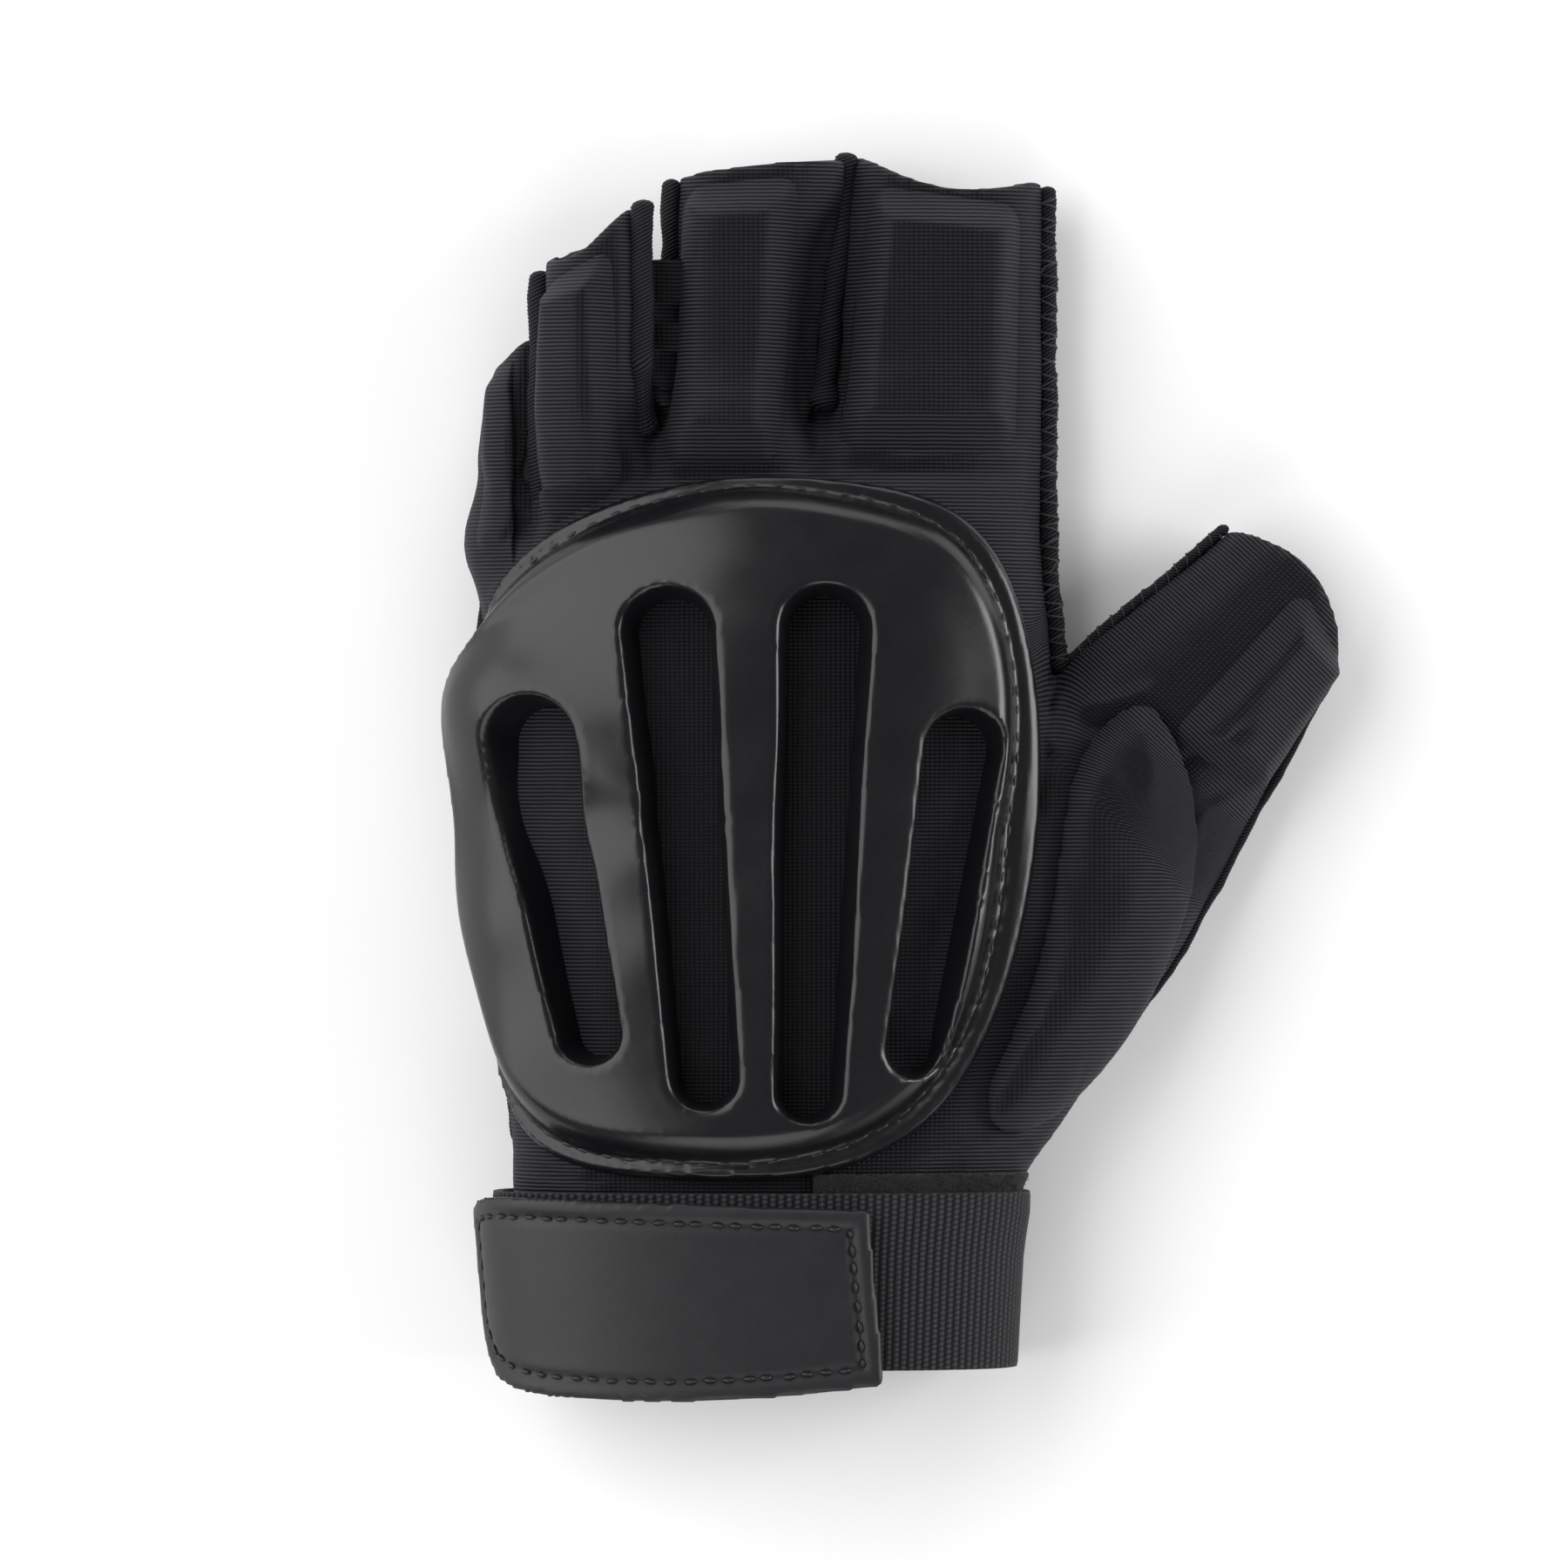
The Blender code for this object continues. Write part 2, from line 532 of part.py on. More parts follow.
class Panel:
    """Collects the shared vertices and faces of a sewn panel."""

    def __init__(self, side, cells):
        self.side, self.cells = side, cells
        self.ids, self.outer, self.inner, self.faces = {}, [], [], []

    def vertex(self, key, maker):
        if key not in self.ids:
            self.ids[key] = len(self.outer)
            self.outer.append(maker(0.0))
            self.inner.append(maker(PANEL_WALL))
        return self.ids[key]

    def hand_vertex(self, row, strip, column):
        """A point of the hand. Neighbours share the line between them, but not beyond the thumb's crotch."""
        along = HAND_ALONG[row]
        next_to_thumb = strip == THUMB - 1
        if strip < THUMB and column == self.cells and (not next_to_thumb or along <= THUMB_CROTCH):
            strip, column = strip + 1, 0
        if column == 0 and strip > 0:
            return self.vertex(
                ("line", row, strip),
                lambda inset: boundary_point(strip, along, self.side, inset),
            )
        share = spread(THUMB_CELLS if strip == THUMB else self.cells)[column]
        return self.vertex(
            ("hand", row, strip, column),
            lambda inset: hand_point(strip, share, along, self.side, inset),
        )

    def strip_faces(self, rows, cells, vertex):
        for i in range(rows):
            for j in range(cells):
                self.faces.append([vertex(i, j), vertex(i, j + 1), vertex(i + 1, j + 1), vertex(i + 1, j)])

    def build(self):
        top = len(HAND_ALONG) - 1
        split = HAND_ALONG.index(THUMB_CROTCH)
        for strip in range(THUMB + 1):
            rows, cells = (split, THUMB_CELLS) if strip == THUMB else (top, self.cells)
            self.strip_faces(rows, cells, lambda i, j, s=strip: self.hand_vertex(i, s, j))
        for finger in range(len(FINGERS)):
            self.strip_faces(
                len(FINGER_ALONG), self.cells, lambda i, j, k=finger: self.finger_vertex(k, i, j)
            )
        self.strip_faces(len(THUMB_ALONG), THUMB_CELLS, self.thumb_vertex)

    def finger_vertex(self, finger, row, column):
        if row == 0:
            return self.hand_vertex(len(HAND_ALONG) - 1, finger, column)
        share, along = spread(self.cells)[column], FINGER_ALONG[row - 1]
        return self.vertex(
            ("finger", finger, row, column),
            lambda inset: finger_point(finger, share, along, self.side, inset),
        )

    def thumb_vertex(self, row, column):
        if row == 0:
            return self.hand_vertex(HAND_ALONG.index(THUMB_CROTCH), THUMB, column)
        share, along = spread(THUMB_CELLS)[column], THUMB_ALONG[row - 1]
        return self.vertex(
            ("thumb", row, column),
            lambda inset: thumb_point(share, along, self.side, inset),
        )


def make_panels():
    for name, side, cells, look in (
        ("back_panel", 1.0, FINGER_CELLS, "knit_fabric"),
        ("palm_panel", -1.0, PALM_FINGER_CELLS, "palm_suede"),
    ):
        panel = Panel(side, cells)
        panel.build()
        wall_solid(name, panel.outer, panel.inner, panel.faces, look)


def surface_normal(point_at, a, b, step=0.004):
    """Outward normal of a surface given by two shares."""
    low_a, high_a = max(a - step, 0.001), min(a + step, 0.999)
    along_a = point_at(high_a, b) - point_at(low_a, b)
    along_b = point_at(a, b + step) - point_at(a, b - step)
    normal = np.cross(along_a, along_b)
    return normal / np.linalg.norm(normal)


def raised_patch(name, point_at, row):
    """A foam pad on a curved surface: low at its rim, flat on top, with a chamfer between them."""
    pad = dict(zip(PAD_COLUMNS, row))
    shares_a = mix(pad["left"], pad["right"], np.array(PAD_STEPS_ACROSS))
    shares_b = mix(pad["low"], pad["high"], np.array(PAD_STEPS_ALONG))
    bottom, top = [], []
    for i, b in enumerate(shares_b):
        for j, a in enumerate(shares_a):
            rim = i in (0, len(shares_b) - 1) or j in (0, len(shares_a) - 1)
            point, normal = point_at(a, b), surface_normal(point_at, a, b)
            bottom.append(point + normal * CLEARANCE)
            top.append(point + normal * (CLEARANCE + (PAD_RIM if rim else pad["height"])))
    return wall_solid(name, top, bottom, grid_faces(len(shares_b), len(shares_a)), "knit_fabric")


def finger_back(finger):
    """The back surface of a finger, going on over the knuckle below its crotch."""
    length = FINGER_LENGTHS[FINGERS[finger]]

    def point_at(share, along):
        if along >= 0.0:
            return finger_point(finger, share, along, 1.0, 0.0)
        return hand_point(finger, share, 1.0 + along * length / HAND_LENGTH, 1.0, 0.0)

    return point_at


def thumb_back(share, along):
    if along >= 0.0:
        return thumb_point(share, along, 1.0, 0.0)
    return hand_point(THUMB, share, THUMB_CROTCH + along * THUMB_LENGTH / HAND_LENGTH, 1.0, 0.0)


def make_pads():
    for finger, name in enumerate(FINGERS):
        raised_patch("pad_" + name, finger_back(finger), PADS[name])
    raised_patch("pad_thumb", thumb_back, THUMB_PAD)


class BackSurface:
    """The outer face of the back panel, to seat pieces on it from a place in plan."""

    def __init__(self):
        panel = Panel(1.0, 2 * FINGER_CELLS)
        panel.build()
        self.tree = BVHTree.FromPolygons([Vector(v) for v in panel.outer], panel.faces)

    def hit(self, x, y):
        found = self.tree.ray_cast(Vector((x, y, 2.0 * HAND_HEIGHT)), Vector((0.0, 0.0, -1.0)))
        if found[0] is None:
            found = self.tree.find_nearest(Vector((x, y, HAND_HEIGHT / 2)))
        return found[0], found[1] if found[1].z > 0 else -found[1]

    def point(self, plan):
        return np.array((*plan, self.hit(*plan)[0].z))

    def normal(self, plan, reach=0.002):
        """Outward normal, averaged over a small cross so that facets don't show."""
        steps = ((0, 0), (1, 0), (-1, 0), (0, 1), (0, -1))
        total = sum((self.hit(plan[0] + a * reach, plan[1] + b * reach)[1] for a, b in steps), Vector())
        return np.array(total.normalized())

    def stand_back(self, plan, lift):
        """The place on the surface from which a point at that height along the normal is above plan."""
        place = np.array(plan)
        for _ in range(8):
            place = mix(place, plan - self.normal(place)[:2] * lift, 0.6)
        return place

    def walk(self, start, end, distances, step=0.0004):
        """Places on the way from start to end, at distances measured along the surface."""
        count = int(np.linalg.norm(end - start) / step)
        places = np.array([mix(start, end, i / count) for i in range(count + 1)])
        points = np.array([self.point(place) for place in places])
        at = np.concatenate(((0.0,), np.cumsum(np.linalg.norm(np.diff(points, axis=0), axis=1))))
        return [np.array([np.interp(d, at, places[:, k]) for k in range(2)]) for d in distances]


def closed_curve(points, count):
    """Points of a closed smooth curve through an outline's few points."""
    points = np.array(points, float)
    total = len(points)
    found = []
    for k in range(count):
        at = k * total / count
        i, s = int(at) % total, at - int(at)
        p0, p1, p2, p3 = (points[(i + n) % total] for n in (-1, 0, 1, 2))
        linear = (p2 - p0) * s
        square = (2 * p0 - 5 * p1 + 4 * p2 - p3) * s**2
        cube = (3 * p1 - p0 - 3 * p2 + p3) * s**3
        found.append(0.5 * (2 * p1 + linear + square + cube))
    return np.array(found)


def in_plan(outline):
    return np.array(outline) * (HAND_WIDTH, HAND_LENGTH)


def plate_on_back(name, surface, outline, centre, profile, clearance, look):
    """A closed plate on the back of the hand. profile gives its height at distances in from its rim."""
    middle = np.array(in_plan(centre))
    distances = [distance for distance, _ in profile]
    heights = [height for _, height in profile]
    rings = []
    for target in in_plan(outline):
        start = surface.stand_back(target, clearance + heights[0])
        places = surface.walk(start, middle, distances)
        rings.append(places + [mix(places[-1], middle, share) for share in INNER_RINGS])
    heights += [heights[-1]] * len(INNER_RINGS)
    top, bottom = [], []
    for k, height in enumerate(heights):
        for places in rings:
            point, normal = surface.point(places[k]), surface.normal(places[k])
            bottom.append(point + normal * clearance)
            top.append(point + normal * (clearance + height))
    point, normal = surface.point(middle), surface.normal(middle)
    bottom.append(point + normal * clearance)
    top.append(point + normal * (clearance + heights[-1]))
    count = len(rings)
    faces = grid_faces(len(heights), count, closed=True)
    last = (len(heights) - 1) * count
    faces += [[last + j, last + (j + 1) % count, len(top) - 1] for j in range(count)]
    return wall_solid(name, top, bottom, faces, look)


def shell_height(distance):
    """Thickness of the shell at a distance in from its edge: a flange, a stitch groove, then the dome."""
    dome = mix(SHELL_EDGE, SHELL_CROWN, smooth(SHELL_GROOVE_INSET, SHELL_DOME_REACH, distance))
    groove = max(0.0, 1.0 - abs(distance - SHELL_GROOVE_INSET) / SHELL_GROOVE_HALF_WIDTH)
    return dome - SHELL_GROOVE_DEPTH * groove


def vent_outline(row, grow):
    """The plan outline of a vent slot: a tapered slot with round ends, grown by a distance."""
    vent = dict(zip(VENT_COLUMNS, row))
    centre = np.array(VENT_FAN_CENTRE) * (HAND_WIDTH, HAND_LENGTH)
    turn = math.radians(vent["angle"])
    forward = np.array((-math.sin(turn), math.cos(turn)))
    sideways = np.array((forward[1], -forward[0]))
    outline = []
    for end, start in (("far", 0.0), ("near", math.pi)):
        radius = vent[end + "_half_width"] * HAND_WIDTH + grow
        middle = centre + forward * vent[end] * HAND_LENGTH
        for k in range(5):
            swing = start + math.pi * k / 4
            outline.append(middle + sideways * radius * math.cos(swing) + forward * radius * math.sin(swing))
    return outline


def cut_vents(shell, surface):
    """Cuts the slots through the shell, wider at the top than at the fabric."""
    for number, row in enumerate(VENT_ROWS):
        rings = []
        centre = np.mean(vent_outline(row, 0.0), axis=0)
        floor = surface.point(centre)[2]
        for height, grow in ((-0.012, -0.4 * WINDOW_BEVEL), (0.014, WINDOW_BEVEL * 1.4)):
            rings.append([np.array((x, y, floor + height)) for x, y in vent_outline(row, grow)])
        count = len(rings[0])
        vertices = rings[0] + rings[1]
        faces = grid_faces(2, count, closed=True)
        faces += [list(reversed(range(count))), list(range(count, 2 * count))]
        cutter = link(f"vent_cutter_{number}", vertices, faces, "moulded_shell")
        GLOVE.objects.unlink(cutter)
        CUTTERS.objects.link(cutter)
        cutter.hide_render = True
        cutter.display_type = "WIRE"
        cut = shell.modifiers.new(cutter.name, "BOOLEAN")
        cut.operation = "DIFFERENCE"
        cut.object = cutter


def make_shell(surface):
    outline = closed_curve(SHELL_OUTLINE, SHELL_SIDES)
    low, high = SHELL_GROOVE_INSET - SHELL_GROOVE_HALF_WIDTH, SHELL_GROOVE_INSET + SHELL_GROOVE_HALF_WIDTH
    profile = [(step, shell_height(step)) for step in (0.0, low, SHELL_GROOVE_INSET, high, *SHELL_STEPS)]
    shell = plate_on_back(
        "back_shell", surface, outline, SHELL_CENTRE, profile, SHELL_CLEARANCE, "moulded_shell"
    )
    cut_vents(shell, surface)


def cushion_height(distance):
    rounding = math.sin(min(distance / CUSHION_ROUNDING, 1.0) * math.pi / 2)
    return CUSHION_HEIGHT * mix(CUSHION_RIM, 1.0, rounding)


def make_cushion(surface):
    outline = closed_curve(CUSHION_OUTLINE, CUSHION_SIDES)
    profile = [(step, cushion_height(step)) for step in CUSHION_STEPS]
    plate_on_back(
        "thumb_cushion", surface, outline, CUSHION_CENTRE, profile, CUSHION_CLEARANCE, "knit_fabric"
    )


def wrist_loop(y, offset, count=WRIST_CELLS):
    """Points round the wrist at a place y along it, set outward from the fabric by an offset."""
    along = max(y, 0.0) / HAND_LENGTH
    shares = spread(count)
    left = hand_value("left", along) * HAND_WIDTH
    outer = thumb_value("outer", along) * HAND_WIDTH
    seams = (hand_value("left_seam", along), thumb_value("outer_seam", along))
    rises = (hand_value("rise", along), hand_value("thumb_rise", along))
    back = [(mix(left, outer, s), section_height(s, along, 1.0, 0.0, seams, rises)) for s in shares]
    palm = [(mix(left, outer, s), section_height(s, along, -1.0, 0.0, seams, rises)) for s in shares]
    ring = np.array(back + palm[-2:0:-1])
    before, after = np.roll(ring, 1, axis=0), np.roll(ring, -1, axis=0)
    tangent = (after - before) / np.linalg.norm(after - before, axis=1)[:, None]
    outward = np.stack((-tangent[:, 1], tangent[:, 0]), axis=1)
    moved = ring + outward * offset
    return [np.array((x, y, z)) for x, z in moved]


def band_rows():
    return [BAND_START + BAND_WIDTH * share for share in WRIST_ROWS]


def make_band():
    """The elastic band: a closed loop of webbing round the wrist, over the loop patch."""
    rows = band_rows()
    under = 2.0 * BAND_CLEARANCE + PATCH_THICKNESS
    inner = [point for y in rows for point in wrist_loop(y, under)]
    faces = grid_faces(len(rows), len(inner) // len(rows), closed=True)
    even_sheet("wrist_band", inner, faces, BAND_THICKNESS, "elastic_webbing")


def arc_slice(y, offset, start, length, cells):
    """Points along the wrist from a start point over the back, evenly spaced by distance."""
    loop = np.array(wrist_loop(y, offset, count=60))[:61]
    steps = np.linalg.norm(np.diff(loop, axis=0), axis=1)
    at = np.concatenate(((0.0,), np.cumsum(steps)))
    where = start + length * np.linspace(0.0, 1.0, cells + 1)
    return [np.array([np.interp(w, at, loop[:, axis]) for axis in range(3)]) for w in where]


def make_tab():
    """The closing tab on the band, with the corners of its free end rounded."""
    under = 3.0 * BAND_CLEARANCE + PATCH_THICKNESS + BAND_THICKNESS
    inner = []
    for row in TAB_ROWS:
        for j in range(TAB_CELLS + 1):
            share = j / TAB_CELLS
            short = max(0.0, 1.0 - share * TAB_LENGTH / TAB_CORNER_LENGTH)
            corner = TAB_CORNER_WIDTH * (1.0 - math.sqrt(1.0 - short**2))
            low = TAB_START + TAB_BOW * (2.0 * share - 1.0) ** 2 + corner
            high = TAB_START + TAB_WIDTH + TAB_SLANT * (1.0 - share) - TAB_UPPER_CORNER * corner
            inner.append(arc_slice(mix(low, high, row), under, 0.0, TAB_LENGTH, TAB_CELLS)[j])
    faces = grid_faces(len(TAB_ROWS), TAB_CELLS + 1)
    even_sheet("closure_tab", inner, faces, TAB_THICKNESS, "strap_rubber")


def make_loop_patch():
    """The fuzzy patch under the band, whose edge shows above it on the thumb side."""
    rows = band_rows()
    rows = [rows[0] + PATCH_MARGIN, *rows[1:], rows[-1] + PATCH_MARGIN]
    inner = []
    for y in rows:
        inner += arc_slice(y, BAND_CLEARANCE, PATCH_PLACE, PATCH_LENGTH, PATCH_CELLS)
    faces = grid_faces(len(rows), PATCH_CELLS + 1)
    even_sheet("loop_patch", inner, faces, PATCH_THICKNESS, "loop_pile")


def seam_roll(name, points):
    """A rolled seam edge, as a tube along the seam line."""
    curve = bpy.data.curves.new(name, "CURVE")
    curve.dimensions = "3D"
    curve.bevel_depth = SEAM_RADIUS
    curve.bevel_resolution = 1
    curve.use_fill_caps = True
    spline = curve.splines.new("POLY")
    spline.points.add(len(points) - 1)
    for target, point in zip(spline.points, points):
        target.co = (*point, 1.0)
    made = bpy.data.objects.new(name, curve)
    GLOVE.objects.link(made)
    finish(made, "seam_binding")


def beside_seam(left, right, side):
    """A point just outside a finger's seam: side -1 is beyond its left seam, 1 beyond its right one."""
    toward = (right - left) / np.linalg.norm(right - left)
    edge = left if side < 0 else right
    return edge + toward * side * (SEAM_RADIUS + CLEARANCE)


def finger_roll(name, finger, side):
    starts = (CROTCH_SHARE + 0.03, *FINGER_ALONG[1:])
    seam_roll(name, [beside_seam(*finger_seams(finger, along), side) for along in starts])


def hand_edge(edge, along):
    """A point just outside a side seam of the hand: the little finger's side, the index's or the thumb's."""
    strip, share, side, seam = {
        "left": (0, 0.0, -1.0, hand_value("left_seam", along)),
        "inner": (THUMB - 1, 1.0, 1.0, thumb_value("inner_seam", along)),
        "outer": (THUMB, 1.0, 1.0, thumb_value("outer_seam", along)),
    }[edge]
    x, y = plan_point(strip, share, along)
    return np.array((x + side * (SEAM_RADIUS + CLEARANCE), y, seam * HAND_HEIGHT))


def make_seams():
    finger_roll("seam_ring_left", 1, -1)
    finger_roll("seam_ring_right", 1, 1)
    finger_roll("seam_middle_left", 2, -1)
    finger_roll("seam_index_left", 3, -1)
    index_side = [hand_edge("inner", t) for t in HAND_ALONG if THUMB_CROTCH + 0.03 < t < 0.99]
    index_side += [beside_seam(*finger_seams(3, s), 1) for s in FINGER_ALONG]
    seam_roll("seam_index_right", index_side)
    seam_roll("seam_thumb_inner", [beside_seam(*thumb_seams(s), -1) for s in (0.14,) + THUMB_ALONG])
    outer = [hand_edge("outer", t) for t in HAND_ALONG if 0.3 < t < THUMB_CROTCH]
    outer += [beside_seam(*thumb_seams(s), 1) for s in THUMB_ALONG]
    seam_roll("seam_thumb_outer", outer)
    little = [hand_edge("left", t) for t in HAND_ALONG if 0.24 < t < 0.99]
    little += [beside_seam(*finger_seams(0, s), -1) for s in FINGER_ALONG]
    seam_roll("seam_little_side", little)


def rest_on_origin():
    """Moves the glove so that the middle of its footprint is the origin and its lowest point is at z = 0."""
    bpy.context.view_layer.update()
    graph = bpy.context.evaluated_depsgraph_get()
    corners = []
    for made in GLOVE.objects:
        evaluated = made.evaluated_get(graph)
        mesh = evaluated.to_mesh()
        corners += [evaluated.matrix_world @ v.co for v in mesh.vertices]
        evaluated.to_mesh_clear()
    corners = np.array(corners)
    low, high = corners.min(axis=0), corners.max(axis=0)
    shift = Vector((-(low[0] + high[0]) / 2, -(low[1] + high[1]) / 2, -low[2]))
    for made in list(GLOVE.objects) + list(CUTTERS.objects):
        made.location += shift


def new_collection(name):
    made = bpy.data.collections.new(name)
    bpy.context.scene.collection.children.link(made)
    return made


for old in list(bpy.data.objects):
    bpy.data.objects.remove(old)
GLOVE = new_collection("field_hockey_glove")
CUTTERS = new_collection("cutters")
make_panels()
make_pads()
back = BackSurface()
make_shell(back)
make_cushion(back)
make_band()
make_tab()
make_loop_patch()
make_seams()
rest_on_origin()
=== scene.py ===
"""Looks of the field hockey glove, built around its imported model. Lengths are in metres.

Frame: +Y from the wrist to the fingers, +X to the thumb side, +Z out of the back of the hand.
"""

import math

import bmesh
import bpy
import numpy as np
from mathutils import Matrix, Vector, noise as space_noise
from mathutils.bvhtree import BVHTree
from mathutils.kdtree import KDTree


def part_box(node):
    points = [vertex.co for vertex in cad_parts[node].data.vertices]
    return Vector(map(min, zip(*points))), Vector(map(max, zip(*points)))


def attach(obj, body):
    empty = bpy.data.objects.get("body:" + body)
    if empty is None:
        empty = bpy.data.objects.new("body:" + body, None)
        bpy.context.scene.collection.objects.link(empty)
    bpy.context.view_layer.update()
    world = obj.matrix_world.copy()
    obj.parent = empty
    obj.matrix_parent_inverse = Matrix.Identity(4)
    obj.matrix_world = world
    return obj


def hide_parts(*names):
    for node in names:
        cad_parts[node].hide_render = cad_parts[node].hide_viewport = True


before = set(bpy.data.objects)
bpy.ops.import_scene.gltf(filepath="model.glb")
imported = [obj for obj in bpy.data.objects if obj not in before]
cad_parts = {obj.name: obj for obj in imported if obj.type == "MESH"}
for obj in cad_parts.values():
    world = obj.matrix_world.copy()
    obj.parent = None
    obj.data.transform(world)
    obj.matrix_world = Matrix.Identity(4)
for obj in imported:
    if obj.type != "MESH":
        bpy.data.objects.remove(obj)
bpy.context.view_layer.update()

# Photograph
PHOTO_PIXELS = 1800
PIXEL = 0.00014  # the size of a photograph pixel at the middle of the glove's height
PHOTO_ORIGIN = (1034.2, 890.5)  # the pixel over the frame's origin
CAMERA_HEIGHT = 2.0
MIDDLE_HEIGHT = 0.020
SENSOR_WIDTH = 36.0  # of the camera, in millimetres

# Studio: each light's place in metres, the side of its square and its power in watts
LIGHTS = (
    ("left", (-1.32, 0.42, 0.97), 2.30, 44.0),
    ("right", (1.35, 0.15, 0.42), 0.80, 16.0),
    ("far", (0.2, 1.5, 0.45), 1.1, 7.0),
    ("near", (0.05, -1.30, 0.80), 1.2, 9.0),
)
WORLD_STRENGTH = 0.22
FLOOR_SHADE = 0.97
FLOOR_REACH = 4

RAY_START = 0.2  # sideways rays start this far out
SHARP_ANGLE = math.radians(48.0)  # the solids' edges that stay sharp while their faces are smoothed

# Cloth
SKIN_VOXEL = 0.0008
PALM_VOXEL = 0.0010
SKIN_SWELL = 0.00028  # closes the gap that the solids keep at their seam
RIB_PITCH = 0.00062
RIB_BEAD = 0.00078
THUMB_AXIS = (0.685, 0.728)  # the thumb's direction in plan
THUMB_ROOT = (0.0270, 0.0060)  # where the ribs turn from the hand's direction to the thumb's
# Over these spans, along X, along the thumb and across it, they turn
RIB_TURN_X = (-0.012, 0.004)
RIB_TURN_ALONG = (-0.006, 0.010)
RIB_TURN_ACROSS = (-0.018, -0.012)
# The same span fades out the knit's painted shade on cloth that faces up.
SLOPE_SPAN = (0.14, 0.42)  # the share of a slope over which the loops give way to bare ribs

# Folds of the back's cloth, in metres. bow bends a fold to the right of its run.
FOLD_COLUMNS = ("x0", "y0", "x1", "y1", "bow", "height", "width")
FOLD_ROWS = (
    (-0.0500, 0.0470, 0.0240, 0.0495, -0.0010, -0.0016, 0.0024),
    (-0.0150, 0.0500, -0.0125, 0.0950, 0.0000, -0.0022, 0.0042),
    (-0.0060, 0.0505, 0.0215, 0.0520, 0.0000, 0.0007, 0.0012),
    (-0.0390, 0.0520, -0.0150, 0.0515, 0.0000, 0.0005, 0.0011),
    (-0.0665, 0.0270, -0.0545, 0.0430, 0.0008, 0.0006, 0.0010),
    (-0.0620, 0.0270, -0.0490, 0.0440, 0.0008, 0.0005, 0.0009),
    (-0.0640, 0.0350, -0.0530, 0.0500, 0.0006, -0.0005, 0.0010),
    (-0.0020, -0.0645, 0.0190, -0.0580, -0.0008, 0.0005, 0.0007),
    (-0.0620, -0.0640, -0.0450, -0.0662, 0.0006, 0.0008, 0.0009),
    (-0.0600, -0.0612, -0.0480, -0.0640, 0.0006, 0.0006, 0.0008),
    (0.0120, -0.0570, 0.0240, -0.0630, -0.0010, 0.0005, 0.0009),
    (0.0150, -0.0590, 0.0290, -0.0480, 0.0012, 0.0005, 0.0010),
    (0.0260, 0.0120, 0.0420, 0.0150, 0.0015, 0.0006, 0.0013),
    (0.0270, 0.0090, 0.0410, 0.0080, 0.0010, -0.0006, 0.0013),
    (0.0240, 0.0020, 0.0262, 0.0150, -0.0008, 0.0005, 0.0012),
    (0.0215, -0.0080, 0.0245, 0.0060, -0.0010, -0.0005, 0.0014),
    (0.0430, 0.0010, 0.0560, 0.0100, 0.0008, -0.0007, 0.0012),
    (0.0480, -0.0060, 0.0640, 0.0040, 0.0010, 0.0005, 0.0012),
    (0.0440, -0.0240, 0.0500, -0.0040, -0.0012, 0.0005, 0.0013),
    (-0.0110, 0.0530, -0.0080, 0.0620, 0.0000, -0.0006, 0.0012),
    (0.0205, 0.0400, 0.0215, 0.0560, 0.0000, -0.0004, 0.0012),
)

# Sideways bulges of the cloth: plan place, reach, shift along X and the span of x that moves
BULGES = (
    (-0.0665, 0.0385, 0.0085, -0.0026, -0.0800, -0.0600),
    (-0.0700, 0.0600, 0.0130, -0.0008, -0.0800, -0.0610),
    (-0.0680, 0.0480, 0.0060, -0.0008, -0.0800, -0.0610),
    (-0.0110, 0.0960, 0.0120, 0.0018, -0.0300, -0.0090),
    (-0.0060, 0.0860, 0.0160, -0.0013, -0.0090, 0.0100),
)
FOLD_FACING = (0.1, 0.5)  # the folds fade where the cloth turns down
# The size and the depth of the cloth's random unevenness
UNEVENNESS = ((0.016, 0.00045), (0.006, 0.00018))

# Finger pads, lengths measured on the cloth
PAD_GRID = 0.00055
PAD_CHAMFER = 0.0046
PAD_SKIRT = 0.0026  # how far the pad's edge runs on under the cloth around it
LITTLE_INNER_SKIRT = 0.0010  # beside the gap to the ring finger there is no room for more
PAD_REACH = 0.0060  # a pad's points further than this from its solid are misses
PAD_SINK = 0.0005
PAD_BACK = 0.0004  # the thickness of its sunken edge
PAD_RAY = 0.03  # its rays start this far over its solid
PAD_CORNER = 0.0024
# Each pad's height and the way it faces
PADS = (
    ("pad_little", 0.0014, (-1.0, 0.0, 0.4)),
    ("pad_ring", 0.0052, (-0.3, 0.0, 1.0)),
    ("pad_middle", 0.0052, (0.0, 0.0, 1.0)),
    ("pad_index", 0.0052, (0.0, 0.0, 1.0)),
    ("pad_thumb", 0.0038, (0.0, 0.0, 1.0)),
)

# Shell
SHELL_SEAT = -0.0003  # its underside sits a little into the cloth
SHELL_EDGE = 0.0034
SHELL_SHOULDER = 0.0064
SHELL_CROWN = 0.0080
SHOULDER_REACH = 0.0046  # from the stitch groove to the shoulder
SHELL_DOME_REACH = 0.024
GROOVE_HALF_WIDTH = 0.0010
GROOVE_DEPTH = 0.0010
